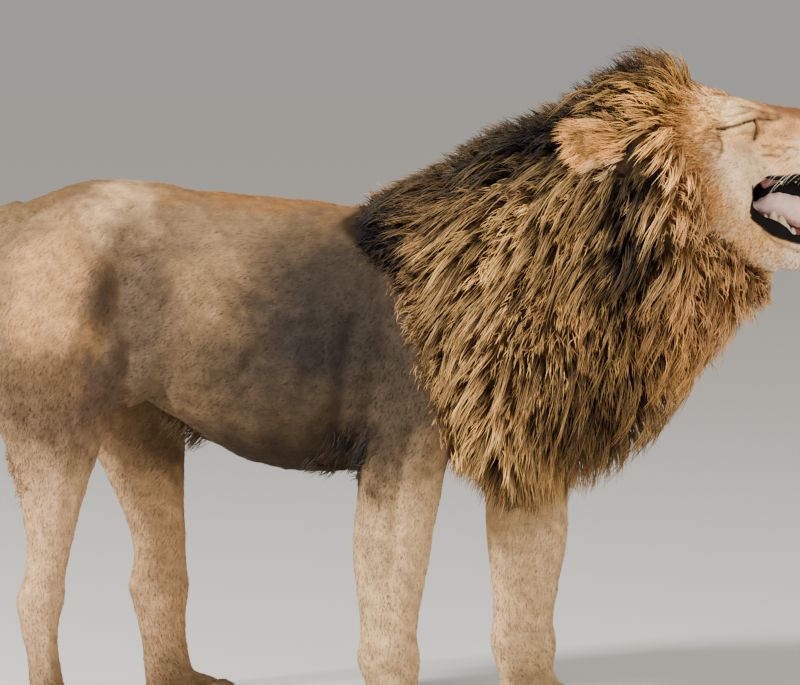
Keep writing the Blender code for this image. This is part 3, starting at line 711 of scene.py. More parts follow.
def make_head_skin():
    skin = fuse("head_skin", [head_mass()] + face_details(), FEATURE_VOXEL, 6)
    for centre, radii, pitch in MOUTH_HOLLOWS:
        cut(skin, ball("hollow", centre, radii, pitch, segments=32))
    skin = join("head_skin", [skin, ball("soft_palate", *SOFT_PALATE)])
    apply(skin, "REMESH", mode="VOXEL", voxel_size=FACE_VOXEL, use_smooth_shade=True)
    apply(skin, "SMOOTH", factor=0.5, iterations=9)
    sculpt(skin, FACE_STROKES, 0.0007, 0.05, 61)
    return skin


def mouth_edge(points):
    """How far each point lies outside the hollow of the mouth; below zero inside it."""
    nearest = np.full(len(points), 1.0)
    for centre, radii, pitch in MOUTH_HOLLOWS:
        turn = np.array(Matrix.Rotation(math.radians(-pitch), 3, "Y"))
        apart = (points - centre) @ turn
        gap = np.maximum(np.linalg.norm(apart / np.array(radii), axis=1), 1e-3)
        nearest = np.minimum(nearest, np.linalg.norm(apart, axis=1) * (1 - 1 / gap))
    return nearest


# ---------------------------------------------------------------- mouth, nose, eyes, ears and claws


def mirrored(path):
    """A path that ends on the middle plane, carried on to the other side."""
    return list(path) + [(x, -y, z) for x, y, z in reversed(path[:-1])]


def tube(name, path, radii, steps=5, sides=12, flat=1.0, up=(0, 0, 1)):
    """A round body along a path, flattened across the given up direction."""
    rows = smooth_rows([(*p, r) for p, r in zip(path, radii)], steps)
    middle, radius = rows[:, :3], rows[:, 3]
    along = unit(np.gradient(middle, axis=0))
    side = unit(np.cross(along, up))
    rise = np.cross(side, along)
    angle = 2 * math.pi * np.arange(sides) / sides
    out = np.cos(angle)[None, :, None] * side[:, None] + flat * np.sin(angle)[None, :, None] * rise[:, None]
    return loft(name, middle[:, None] + radius[:, None, None] * out)


def tooth(root, tip, radius, bow=0.14, flat=0.8):
    """One tooth or claw: a cone that bows forwards and narrows to a worn point."""
    root, tip = np.array(root, float), np.array(tip, float)
    t = np.linspace(0, 1, 8)
    middle = root + t[:, None] * (tip - root)
    middle[:, 0] += bow * np.linalg.norm(tip - root) * np.sin(math.pi * t)
    radii = radius * np.clip(1 - t, 0, 1) ** 0.62 + 0.0006
    return tube("tooth", middle.tolist(), radii.tolist(), 2, 12, flat, (0, 1, 0))


def jaw_teeth(name, canine, height, front, gum, way, cheeks):
    """Canines, incisors and cheek teeth of one jaw. way is -1 for the upper teeth and 1 for the lower."""
    pieces = []
    for side in (1, -1):
        x, y, z = canine
        root = (x, side * y, z - 0.012 * way)
        pieces.append(tooth(root, (x - 0.006, side * (y + 0.003), z + height * way), 0.0105))
        for cx, cy, cz, size in cheeks:
            for ahead, share in ((0.0, 1.0), (-0.75, 0.68), (0.75, 0.6)):
                root = (cx + ahead * size, side * cy, cz - 0.006 * way)
                tip = (cx + 1.05 * ahead * size, side * cy, cz + share * 1.25 * size * way)
                pieces.append(tooth(root, tip, 0.62 * size, 0.0, 0.7))
    for k in range(6):
        across = (k - 2.5) / 2.5
        size = 0.0044 + 0.0010 * abs(across)
        root = (front - 0.007 * across**2, 0.0180 * across, gum - 0.006 * way)
        pieces.append(tooth(root, (root[0], root[1], gum + (0.007 + 0.003 * abs(across)) * way), size))
    return join(name, pieces)


UPPER_ARCH = [
    (0.800, 0.040, 1.092),
    (0.835, 0.043, 1.108),
    (0.870, 0.042, 1.115),
    (0.905, 0.037, 1.118),
    (0.928, 0.021, 1.116),
    (0.936, 0.000, 1.115),
]
LOWER_ARCH = [
    (0.800, 0.036, 1.024),
    (0.830, 0.036, 1.002),
    (0.862, 0.034, 0.986),
    (0.892, 0.030, 0.976),
    (0.912, 0.017, 0.975),
    (0.919, 0.000, 0.975),
]


def make_mouth():
    """Gums, palate, teeth and tongue."""
    radii = [0.010, 0.010, 0.009, 0.010, 0.008, 0.008]
    radii += radii[-2::-1]
    gums = [tube("gum", mirrored(arch), radii, 5, 14, 1.25) for arch in (UPPER_ARCH, LOWER_ARCH)]
    gums.append(ball("palate", (0.862, 0.0, 1.120), (0.080, 0.042, 0.016), 4))
    gums.append(ball("floor", (0.854, 0.0, 0.988), (0.068, 0.032, 0.020), -14))
    gums = fuse("gums", gums, MOUTH_VOXEL, 5)
    upper = [(0.868, 0.043, 1.108, 0.011), (0.840, 0.043, 1.106, 0.012)]
    lower = [(0.852, 0.036, 0.996, 0.013), (0.824, 0.040, 1.014, 0.021)]
    pieces = {
        "gums": gums,
        "teeth_upper": jaw_teeth("teeth_upper", (0.905, 0.037, 1.110), 0.050, 0.938, 1.104, -1, upper),
        "teeth_lower": jaw_teeth("teeth_lower", (0.892, 0.031, 0.978), 0.042, 0.921, 0.980, 1, lower),
    }
    sections = [
        Section(0.735, 1.044, 1.026, 1.034, 0.018),
        Section(0.784, 1.056, 1.030, 1.043, 0.024),
        Section(0.808, 1.074, 1.022, 1.049, 0.032),
        Section(0.836, 1.082, 1.016, 1.051, 0.035),
        Section(0.866, 1.072, 1.004, 1.040, 0.034),
        Section(0.895, 1.050, 0.998, 1.024, 0.029),
        Section(0.910, 1.032, 0.996, 1.012, 0.019),
        Section(0.918, 1.016, 0.999, 1.007, 0.008),
    ]
    body = upright_loft("tongue_skin", sections, 0.0, 2.4, 2.0, 32, 6)
    tongue = fuse("tongue_skin", [body], MOUTH_VOXEL, 8)
    furrow = Stroke([(0.76, 0, 1.072), (0.84, 0, 1.084), (0.90, 0, 1.048)], 0.005, -0.004)
    sculpt(tongue, [furrow], 0.0006, 0.02, 71)
    pieces["tongue_skin"] = tongue
    return pieces


def make_nose():
    """The nose leather: broad above, narrowing to the lip, with comma-shaped nostrils."""
    pieces = [ball("nose", (0.940, 0.0, 1.193), (0.0255, 0.0350, 0.0190), -22, segments=40)]
    pieces += both_balls("wing", (0.943, 0.0225, 1.187), (0.0205, 0.0155, 0.0155), -12, 14)
    pieces.append(ball("wedge", (0.950, 0.0, 1.175), (0.0150, 0.0185, 0.0170), -16, segments=32))
    pieces.append(ball("philtrum", (0.9535, 0.0, 1.153), (0.0070, 0.0048, 0.0220), -4))
    nose = fuse("nose_leather", pieces, NOSE_VOXEL, 6)
    for side in (1, -1):
        cut(nose, ball("nostril", (0.968, side * 0.0150, 1.185), (0.0130, 0.0062, 0.0066), 0, 20 * side))
        cut(nose, ball("nostril", (0.960, side * 0.0270, 1.188), (0.0150, 0.0105, 0.0034), 12, 32 * side))
    apply(nose, "REMESH", mode="VOXEL", voxel_size=NOSTRIL_VOXEL, use_smooth_shade=True)
    apply(nose, "SMOOTH", factor=0.5, iterations=4)
    strokes = [Stroke([(0.968, 0, 1.200), (0.966, 0, 1.172), (0.960, 0, 1.140)], 0.0014, -0.0018)]
    sculpt(nose, strokes, 0.00035, 0.006, 75)
    return nose


def make_eye(name, side):
    """One eyeball, behind its lids. Pupil and iris are painted on it later."""
    eye = ball(name, (EYE.x, side * EYE.y, EYE.z), (EYE_RADIUS,) * 3, 0, -GAZE * side, segments=48)
    use(eye)
    bpy.ops.object.shade_smooth()
    return eye


def make_ear(name, side):
    """A round ear laid back along the mane: a cup of skin open to the side."""
    middle, along = (EAR_BASE + EAR_TIP) / 2, EAR_TIP - EAR_BASE
    pitch = -math.degrees(math.asin(along.z / along.length))
    yaw = -math.degrees(math.atan2(along.y, -along.x)) * side
    half = along.length / 2
    ear = ball(name, (middle.x, side * middle.y, middle.z), (half, 0.020, 0.040), pitch, yaw, segments=40)
    hollow = (middle.x + 0.004, side * (middle.y + 0.017), middle.z - 0.002)
    cut(ear, ball("hollow", hollow, (half * 0.84, 0.018, 0.032), pitch, yaw, segments=32))
    apply(ear, "REMESH", mode="VOXEL", voxel_size=EAR_VOXEL, use_smooth_shade=True)
    apply(ear, "SMOOTH", factor=0.5, iterations=5)
    return ear


def make_claws():
    """The tips of the claws, which show a little at the front of each toe."""
    pieces = []
    for leg in (FORE, HIND):
        for left in (False, True):
            _, front, side = foot_of(leg, left)
            for k in range(4):
                across = (k - 1.5) / 1.5
                x = front - leg.toe * (0.10 + 0.20 * abs(across))
                y = side + across * 0.36 * leg.width
                pieces.append(tooth((x - 0.014, y, 0.030), (x + 0.006, y, 0.012), 0.0042, 0.25, 0.6))
    return join("claws", pieces)


def whisker_roots():
    """The left side's whisker roots, in four rows on the pad."""
    roots = []
    for row in range(4):
        for k in range(5):
            x = 0.938 - 0.021 * k - 0.004 * row
            z = 1.166 - 0.0125 * row - 0.0030 * k
            roots.append((x, 0.052 + 0.0035 * k, z))
    return roots


def make_whiskers():
    """Long whiskers, swept back from the pads and drooping a little."""
    pieces = []
    for side in (1, -1):
        for x, y, z in whisker_roots():
            reach = random.uniform(0.07, 0.12)
            y = side * y
            swing = np.array([-0.45 - random.uniform(0, 0.3), side * 1.0, random.uniform(-0.35, 0.05)])
            t = np.linspace(0, 1, 6)[:, None]
            droop = np.array([0, 0, -0.25]) * reach * t**2
            path = np.array([x, y, z]) + reach * t * unit(swing) + droop
            radii = (0.00065 * (1 - 0.85 * t[:, 0])).tolist()
            pieces.append(tube("whisker", path.tolist(), radii, 2, 5))
    return join("whiskers", pieces)


# ---------------------------------------------------------------- the lie of the coat

Flow = namedtuple("Flow", "x y z along across up length")  # a place on the left side, and how hair lies there

MANE_FLOW = [
    Flow(0.715, 0.000, 1.290, -0.40, 0.00, 0.90, 0.045),
    Flow(0.650, 0.000, 1.330, -0.62, 0.00, 0.80, 0.080),
    Flow(0.560, 0.000, 1.320, -0.80, 0.05, 0.60, 0.100),
    Flow(0.430, 0.000, 1.260, -0.88, 0.08, 0.42, 0.120),
    Flow(0.280, 0.000, 1.180, -0.93, 0.10, 0.15, 0.130),
    Flow(0.100, 0.000, 1.090, -0.97, 0.10, -0.10, 0.110),
    Flow(0.640, 0.150, 1.290, -0.80, 0.35, 0.30, 0.080),
    Flow(0.500, 0.160, 1.240, -0.90, 0.30, -0.20, 0.110),
    Flow(0.330, 0.170, 1.130, -0.80, 0.15, -0.60, 0.150),
    Flow(0.120, 0.170, 1.030, -0.88, 0.05, -0.48, 0.130),
    Flow(0.080, 0.220, 0.900, -0.70, 0.00, -0.72, 0.100),
    Flow(0.250, 0.250, 0.960, -0.62, 0.00, -0.78, 0.160),
    Flow(0.400, 0.260, 1.020, -0.42, 0.05, -0.90, 0.170),
    Flow(0.200, 0.240, 0.720, -0.48, 0.00, -0.87, 0.130),
    Flow(0.330, 0.260, 0.720, -0.25, 0.00, -0.97, 0.170),
    Flow(0.480, 0.250, 0.760, -0.16, 0.00, -0.98, 0.190),
    Flow(0.350, 0.150, 0.470, -0.10, 0.00, -1.00, 0.110),
    Flow(0.620, 0.180, 0.740, -0.20, 0.00, -0.98, 0.160),
    Flow(0.560, 0.230, 1.080, -0.30, 0.20, -0.93, 0.120),
    Flow(0.670, 0.170, 1.160, -0.40, 0.35, -0.85, 0.080),
    Flow(0.700, 0.140, 1.020, -0.18, 0.25, -0.95, 0.100),
    Flow(0.690, 0.130, 1.240, -0.70, 0.45, 0.15, 0.050),
    Flow(0.740, 0.100, 0.930, -0.12, 0.10, -0.98, 0.100),
    Flow(0.780, 0.000, 0.870, -0.05, 0.00, -0.99, 0.100),
    Flow(0.700, 0.000, 0.760, -0.30, 0.00, -0.95, 0.140),
    Flow(0.550, 0.000, 0.560, -0.35, 0.00, -0.93, 0.120),
]
BODY_FLOW = [
    Flow(0.300, 0.000, 1.080, -1.00, 0.00, 0.00, 0.014),
    Flow(0.000, 0.000, 1.050, -1.00, 0.00, 0.00, 0.014),
    Flow(-0.300, 0.000, 1.070, -1.00, 0.00, 0.00, 0.014),
    Flow(-0.600, 0.000, 1.090, -1.00, 0.10, -0.10, 0.014),
    Flow(0.100, 0.210, 0.900, -0.80, 0.00, -0.60, 0.014),
    Flow(-0.150, 0.210, 0.900, -0.97, 0.00, -0.25, 0.014),
    Flow(-0.100, 0.200, 0.650, -0.95, 0.00, -0.30, 0.014),
    Flow(-0.400, 0.180, 0.850, -0.85, 0.00, -0.50, 0.014),
    Flow(-0.380, 0.150, 0.620, -0.85, 0.00, -0.50, 0.014),
    Flow(-0.600, 0.200, 0.880, -0.60, 0.00, -0.80, 0.014),
    Flow(-0.740, 0.130, 0.880, -0.40, 0.00, -0.90, 0.014),
    Flow(-0.620, 0.200, 0.650, -0.35, 0.00, -0.94, 0.014),
    Flow(-0.600, 0.130, 0.450, -0.15, 0.00, -0.99, 0.014),
    Flow(-0.600, 0.130, 0.200, 0.00, 0.00, -1.00, 0.014),
    Flow(-0.550, 0.130, 0.050, 0.70, 0.00, -0.60, 0.014),
    Flow(0.120, 0.200, 0.700, -0.40, 0.00, -0.92, 0.014),
    Flow(0.100, 0.150, 0.450, -0.15, 0.00, -0.99, 0.014),
    Flow(0.100, 0.150, 0.200, 0.00, 0.00, -1.00, 0.014),
    Flow(0.200, 0.150, 0.050, 0.70, 0.00, -0.60, 0.014),
    Flow(-0.200, 0.000, 0.520, -1.00, 0.00, 0.00, 0.014),
    Flow(-0.860, 0.000, 0.800, 0.00, 0.00, -1.00, 0.014),
    Flow(-0.870, 0.000, 0.500, 0.00, 0.00, -1.00, 0.014),
    Flow(-0.900, 0.000, 0.250, -0.20, 0.00, -0.98, 0.014),
]
FACE_FLOW = [
    Flow(0.960, 0.000, 1.215, -1.00, 0.00, 0.30, 0.005),
    Flow(0.880, 0.000, 1.250, -1.00, 0.00, 0.05, 0.009),
    Flow(0.760, 0.000, 1.270, -0.95, 0.00, 0.30, 0.009),
    Flow(0.920, 0.050, 1.150, -0.80, 0.30, -0.45, 0.006),
    Flow(0.850, 0.060, 1.130, -0.85, 0.30, -0.40, 0.009),
    Flow(0.760, 0.090, 1.250, -0.85, 0.35, 0.20, 0.009),
    Flow(0.740, 0.110, 1.180, -0.90, 0.35, -0.25, 0.009),
    Flow(0.720, 0.120, 1.080, -0.70, 0.30, -0.65, 0.009),
    Flow(0.740, 0.090, 0.990, -0.60, 0.25, -0.75, 0.009),
    Flow(0.830, 0.060, 0.950, -0.55, 0.15, -0.80, 0.009),
    Flow(0.930, 0.000, 0.950, -0.10, 0.00, -0.99, 0.009),
]


def blended(points, table):
    """The hair's way and length at each point, blended from the nearest rows of a flow table."""
    at = folded(points)
    total, weight = np.zeros((len(at), 4)), np.zeros((len(at), 1))
    for row in np.array(table, float):
        near = ((np.linalg.norm(at - row[:3], axis=1) + 0.02) ** -3)[:, None]
        total += near * row[3:]
        weight += near
    return total / weight


def lie_of_hair(points, table):
    """The way hair lies at each point, turned to the point's own side."""
    found = blended(points, table)[:, :3]
    found[:, 1] *= np.sign(points[:, 1] + 1e-9)
    return unit(found)


def length_of_hair(points, table):
    return blended(points, table)[:, 3]


MANE_SHELL = smooth_rows(np.column_stack([MANE_SECTIONS, MANE_UNDER]), 8)


def mane_room(points):
    """How deep each point lies inside the outer form of the mane; below zero outside it."""
    x = np.clip(points[:, 0], MANE_SHELL[0, 0], MANE_SHELL[-1, 0])
    read = [np.interp(x, MANE_SHELL[:, 0], column) for column in MANE_SHELL.T[1:]]
    top, bottom, level, half, under = read
    above = points[:, 2] > level
    rise = np.where(above, top - level, level - bottom)
    power = np.where(above, MANE_OVER, under)
    y, z = np.abs(points[:, 1]) / half, np.abs(points[:, 2] - level) / rise
    reach = np.maximum(y**power + z**power, 1e-9) ** (1 / power)
    room = (1 - reach) * np.sqrt((half * y) ** 2 + (rise * z) ** 2) / np.maximum(reach, 1e-3)
    return room - np.abs(points[:, 0] - x)


def mane_outward(points):
    """The way out of the mane's form at each point."""
    step = 0.004
    here = mane_room(points)
    slope = [mane_room(points + step * np.eye(3)[k]) - here for k in range(3)]
    return -unit(np.column_stack(slope))


# ---------------------------------------------------------------- growing hair


class Hide:
    """A skin to grow hair on: its triangles, for scattering roots by area."""

    def __init__(self, obj):
        mesh = obj.data
        mesh.calc_loop_triangles()
        corners = np.empty(len(mesh.loop_triangles) * 3, np.int32)
        mesh.loop_triangles.foreach_get("vertices", corners)
        self.corners = corners.reshape(-1, 3)
        self.points = points_of(obj) - (FORWARD, 0, 0)
        self.normals = normals_of(obj)
        a, b, c = (self.points[self.corners[:, k]] for k in range(3))
        self.middles = (a + b + c) / 3
        self.areas = np.linalg.norm(np.cross(b - a, c - a), axis=1) / 2

    def scatter(self, count, share):
        """Random places on the skin, as many as count, weighted by area and by share."""
        weights = np.cumsum(self.areas * share)
        picks = np.searchsorted(weights, random.uniform(0, weights[-1], count))
        u, v = random.uniform(size=count), random.uniform(size=count)
        u, v = np.where(u + v > 1, 1 - u, u), np.where(u + v > 1, 1 - v, v)
        mix = np.column_stack([1 - u - v, u, v])[:, :, None]
        chosen = self.corners[picks]
        roots = (self.points[chosen] * mix).sum(axis=1)
        return roots, unit((self.normals[chosen] * mix).sum(axis=1))


def grow_mane(roots, outward, lengths, steps):
    """Paths of hair from the roots: out of the skin, then along its lie between skin and outer form."""
    paths = [roots]
    at, heading = roots.copy(), outward.copy()
    deep = random.uniform(0, 1, len(roots)) ** 1.3
    layer = (0.02 + 0.6 * deep) * np.clip(mane_room(roots), 0.01, 0.05)
    for k in range(steps):
        lie = lie_of_hair(at, MANE_FLOW)
        lie = unit(lie + 0.17 * drift_vector(at, 0.12, 5) + 0.05 * drift_vector(at, 0.04, 9))
        out = mane_outward(at)
        room = mane_room(at)
        inward = np.minimum((lie * out).sum(axis=1), 0)[:, None]
        lie = unit(lie - inward * out + np.clip((room - layer) * 20, -0.8, 0.8)[:, None] * out)
        heading = unit(heading * 0.35 + lie * 0.65) if k else unit(outward * 0.75 + lie * 0.5)
        at = at + heading * (lengths / steps)[:, None]
        paths.append(at)
    return trimmed(np.stack(paths, axis=1)), deep


def trimmed(paths):
    """The paths, each drawn shorter where it runs out past the mane's form, so that its tip ends there."""
    count, rings = paths.shape[:2]
    room = mane_room(paths.reshape(-1, 3)).reshape(count, rings)
    crown = ease(paths[:, 0, 2], 1.22, 1.30) * ease(paths[:, 0, 0], 0.42, 0.55)
    limit = -random.uniform(0, 0.012 + 0.026 * crown)
    over = (room < limit[:, None]) & (np.arange(rings) > 0)
    first = np.where(over.any(axis=1), over.argmax(axis=1), rings - 1)
    row = np.arange(count)
    before, after = room[row, first - 1] - limit, room[row, first] - limit
    part = np.where(over.any(axis=1), np.clip(before / np.maximum(before - after, 1e-6), 0, 1), 1)
    share = np.clip((first - 1 + part) / (rings - 1), 0.3, 1)
    return resampled(paths, share[:, None] * np.linspace(0, 1, rings))


def resampled(paths, share):
    """Points along each path at the given shares of its steps."""
    steps = paths.shape[1] - 1
    at = np.clip(share, 0, 1) * steps
    low = np.minimum(at.astype(int), steps - 1)
    row = np.arange(len(paths))[:, None]
    return paths[row, low] + (at - low)[..., None] * (paths[row, low + 1] - paths[row, low])


def gather_locks(guides, roots, tightness, frizz):
    """Hair between guides: each starts at its own root and draws in to the tip of its nearest guide."""
    tree = KDTree(len(guides))
    for i, point in enumerate(guides[:, 0]):
        tree.insert(point, i)
    tree.balance()
    own = np.array([tree.find(root)[1] for root in roots])
    along = np.linspace(0, 1, guides.shape[1])
    reach = random.uniform(0.55, 1.06, len(roots))
    lead = resampled(guides[own], along * reach[:, None])
    apart = roots - guides[own, 0]
    hold = (tightness * random.uniform(0.6, 1.1, len(guides)))[own]
    draw = 1 - hold[:, None, None] * (along**0.85)[None, :, None]
    stray = random.normal(size=(len(roots), 1, 3)) * frizz * along[None, :, None] ** 1.6
    bend = random.normal(size=(len(roots), 1, 3)) * frizz * 0.5
    wave = bend * np.sin(math.pi * along * 1.7)[None, :, None]
    return lead + apart[:, None, :] * draw + stray + wave, own


def tapered(widths, steps, root=0.6, belly=0.55):
    """Half widths along a hair: narrow at the root, widest at its belly, drawn out to the tip."""
    along = np.arange(steps) / steps
    form = np.where(along < belly, root + (1 - root) * along / belly, ((1 - along) / (1 - belly)) ** 0.8)
    return widths[:, None] * form


def hair_tips(rings):
    """How far towards the tip each point of a hair lies, 0 to 1."""
    return np.append(np.repeat(np.arange(rings) / rings, 3), 1.0)


def hair_mesh(name, paths, half_widths, outward, patches, lock, thickness=0.55):
    """Three-sided closed hairs along the paths, as one mesh with its attributes and its OFBake map."""
    count, rings = half_widths.shape
    along = unit(np.gradient(paths, axis=1))
    side = unit(np.cross(along, outward[:, None, :]))
    lift = unit(np.cross(side, along))
    corners = []
    for across, up in ((1.0, 0.0), (-1.0, 0.0), (0.0, 2 * thickness)):
        shift = across * side[:, :-1] + up * lift[:, :-1]
        corners.append(paths[:, :-1] + half_widths[..., None] * shift)
    body = np.stack(corners, axis=2).reshape(count, rings * 3, 3)
    verts = np.concatenate([body, paths[:, -1:]], axis=1)
    per = rings * 3 + 1
    quads, threes = [], [(2, 1, 0)]
    for k in range(rings - 1):
        for s in range(3):
            t = (s + 1) % 3
            quads.append((3 * k + s, 3 * k + t, 3 * k + 3 + t, 3 * k + 3 + s))
    for s in range(3):
        threes.append((3 * rings - 3 + s, 3 * rings - 3 + (s + 1) % 3, 3 * rings))
    pattern = np.concatenate([np.array(quads, int).ravel(), np.array(threes).ravel()])
    sizes = np.array([4] * len(quads) + [3] * len(threes))
    loops = (pattern[None, :] + per * np.arange(count)[:, None]).ravel()
    starts = np.concatenate([[0], np.cumsum(np.tile(sizes, count))[:-1]])
    mesh = bpy.data.meshes.new(name)
    mesh.vertices.add(count * per)
    mesh.vertices.foreach_set("co", (verts.reshape(-1, 3) + (FORWARD, 0, 0)).astype(np.float32).ravel())
    mesh.loops.add(len(loops))
    mesh.polygons.add(len(starts))
    mesh.polygons.foreach_set("loop_start", starts.astype(np.int32))
    mesh.polygons.foreach_set("vertices", loops.astype(np.int32))
    mesh.update(calc_edges=True)
    mesh.shade_smooth()
    tip = hair_tips(rings)
    each = np.repeat(lock, per).astype(np.float32)
    mesh.attributes.new("lock", "FLOAT", "POINT").data.foreach_set("value", each)
    spot = np.append(np.tile([0.0, 1.0, 0.5], rings), 0.5)
    local = np.column_stack([np.tile(spot, count), np.tile(tip, count)]) * OFBAKE_PATCH
    at = np.repeat(patches, per, axis=0) + local
    mesh.uv_layers.new(name="OFBake").data.foreach_set("uv", at[loops].astype(np.float32).ravel())
    obj = bpy.data.objects.new(name, mesh)
    bpy.context.scene.collection.objects.link(obj)
    return obj


def add_paint(mesh, colours):
    """Linear colours for the mesh's points, as the attribute that its material reads."""
    full = np.column_stack([colours, np.ones(len(colours))]).astype(np.float32)
    mesh.color_attributes.new("paint", "FLOAT_COLOR", "POINT").data.foreach_set("color", full.ravel())


class Unwrap:
    """The skin's own shape unwrapped once, for the place of each hair's patch on the OFBake map."""

    def __init__(self, skins):
        copies = []
        for skin in skins:
            copy = skin.copy()
            copy.data = skin.data.copy()
            bpy.context.scene.collection.objects.link(copy)
            copies.append(copy)
        shell = join("unwrap", copies)
        apply(shell, "REMESH", mode="VOXEL", voxel_size=UNWRAP_VOXEL)
        apply(shell, "TRIANGULATE")
        use(shell)
        bpy.ops.object.mode_set(mode="EDIT")
        bpy.ops.mesh.select_all(action="SELECT")
        bpy.ops.uv.smart_project(angle_limit=math.radians(60), island_margin=0.004)
        bpy.ops.object.mode_set(mode="OBJECT")
        mesh = shell.data
        self.points = points_of(shell) - (FORWARD, 0, 0)
        faces = np.empty(len(mesh.polygons) * 3, np.int32)
        mesh.polygons.foreach_get("vertices", faces)
        self.faces = faces.reshape(-1, 3)
        uv = np.empty(len(mesh.loops) * 2, np.float32)
        mesh.uv_layers.active.data.foreach_get("uv", uv)
        self.uv = uv.reshape(-1, 3, 2)
        self.tree = BVHTree.FromPolygons(self.points.tolist(), self.faces.tolist())
        bpy.data.objects.remove(shell)

    def patches(self, roots):
        """The corner of each root's patch on the unwrap."""
        found = [self.tree.find_nearest(root) for root in roots.tolist()]
        face = np.array([hit[2] for hit in found])
        place = np.array([tuple(hit[0]) for hit in found])
        a, b, c = (self.points[self.faces[face, k]] for k in range(3))
        whole = np.cross(b - a, c - a)
        area = (whole**2).sum(axis=1)
        v = (np.cross(b - a, place - a) * whole).sum(axis=1) / area
        u = (np.cross(place - a, c - a) * whole).sum(axis=1) / area
        mix = np.clip(np.column_stack([1 - u - v, u, v]), 0, 1)[:, :, None]
        at = (self.uv[face] * mix).sum(axis=1) / mix.sum(axis=1)
        return np.clip(at - OFBAKE_PATCH / 2, 0.0005, 0.9995 - OFBAKE_PATCH)


# ---------------------------------------------------------------- colour of skin and coat


def linear(code):
    """An sRGB hex colour as linear red, green and blue."""
    values = [int(code[i : i + 2], 16) / 255 for i in (1, 3, 5)]
    return np.array([v / 12.92 if v <= 0.04045 else ((v + 0.055) / 1.055) ** 2.4 for v in values])


Patch = namedtuple("Patch", "x y z long wide high colour strength")  # a soft-edged spot of colour

TUFT = "#241b14"
NOSE_RIM = "#1d1310"
# LIP is the black of the lips, also used as painted shade deep in the mouth and across the gape; PALATE is
# the lining's red, darkened as painted shade
LIP = "#15100f"
PALATE = "#54292a"
IRIS, IRIS_RIM, EYE_WHITE = "#8a5a1c", "#3b260f", "#5f4a3c"
COAT_BASE = "#796042"
COAT_PATCHES = [
    Patch(-0.10, 0.00, 1.06, 0.55, 0.14, 0.05, "#93612f", 0.72),  # russet along the spine
    Patch(-0.68, 0.00, 1.07, 0.16, 0.20, 0.07, "#6d5230", 0.85),  # grey over the rump
    Patch(-0.475, 0.10, 1.03, 0.09, 0.16, 0.10, "#d9b07c", 0.85),  # pale over the hip: painted sunlight
    Patch(-0.60, 0.20, 0.87, 0.11, 0.14, 0.22, "#be8e59", 0.9),  # warm thigh, brightened by painted sunlight
    Patch(-0.60, 0.20, 0.65, 0.17, 0.14, 0.13, "#4e3b29", 0.8),  # darker above the knee: painted shade
    Patch(-0.435, 0.20, 0.82, 0.13, 0.20, 0.34, "#41342a", 0.75),  # painted shade ahead of the thigh
    Patch(-0.26, 0.22, 0.87, 0.12, 0.20, 0.14, "#8b6d48", 0.7),  # worn, scarred flank, lightened by painted sunlight
    Patch(-0.12, 0.22, 0.69, 0.32, 0.22, 0.22, "#3a2f20", 0.88),  # dark over the ribs: grey-brown coat and painted shade
    Patch(-0.01, 0.22, 0.86, 0.26, 0.22, 0.27, "#201d1a", 0.88),  # grey coat behind the shoulder, darkened by painted shade
    Patch(-0.10, 0.10, 0.54, 0.45, 0.26, 0.10, "#261b0e", 0.92),  # brown belly, darkened by painted shade underneath
    Patch(-0.72, 0.00, 0.78, 0.08, 0.10, 0.22, "#cdb08a", 0.8),  # pale back of the thighs
    Patch(-0.74, 0.00, 0.74, 0.06, 0.06, 0.08, "#5c4636", 0.7),  # painted shade between them
    Patch(0.11, 0.20, 0.67, 0.10, 0.14, 0.20, "#352b1f", 0.8),  # painted shade on the arm behind the mane's edge
    Patch(0.14, 0.14, 0.28, 0.22, 0.14, 0.32, "#d3ad7c", 0.85),  # forelegs
    Patch(0.36, 0.14, 0.28, 0.22, 0.14, 0.32, "#d3ad7c", 0.85),
    Patch(0.02, 0.16, 0.54, 0.065, 0.10, 0.09, "#17120d", 0.95),  # dark at the elbow
    Patch(-0.62, 0.14, 0.33, 0.24, 0.12, 0.28, "#c8a074", 0.8),  # hind legs
    Patch(-0.38, 0.14, 0.28, 0.20, 0.12, 0.24, "#a9835a", 0.8),
    Patch(-0.90, 0.00, 0.26, 0.07, 0.08, 0.13, TUFT, 1.0),  # tail tuft
]
MANE_BASE = "#936b3c"
MANE_PATCHES = [
    Patch(0.30, 0.12, 1.18, 0.36, 0.22, 0.15, "#241d13", 0.92),  # dark along the nape
    Patch(0.40, 0.15, 1.18, 0.10, 0.20, 0.07, "#130f0a", 0.95),
    Patch(0.07, 0.18, 0.99, 0.12, 0.18, 0.17, "#0b0908", 1.0),  # near black at the rear edge
    Patch(0.570, 0.20, 1.00, 0.070, 0.14, 0.24, "#130d08", 0.95),  # painted shade below the ear, behind the ruff
    Patch(0.52, 0.18, 0.64, 0.14, 0.22, 0.16, "#1a130c", 0.85),  # dark lower front
    Patch(0.42, 0.00, 0.48, 0.20, 0.20, 0.08, "#3a2919", 0.7),
    Patch(0.62, 0.05, 1.26, 0.13, 0.20, 0.11, "#e59a48", 0.92),  # ginger crown
    Patch(0.50, 0.04, 1.270, 0.13, 0.14, 0.085, "#33251a", 0.88),  # dark behind and over the crown
    Patch(0.68, 0.15, 1.14, 0.09, 0.12, 0.16, "#d9934b", 0.9),  # ginger ruff
    Patch(0.68, 0.12, 0.96, 0.10, 0.16, 0.14, "#b98043", 0.85),
    Patch(0.72, 0.02, 0.82, 0.12, 0.14, 0.12, "#b07636", 0.8),
]
TIP_BASE = "#e0b26a"  # the mane's outer ends
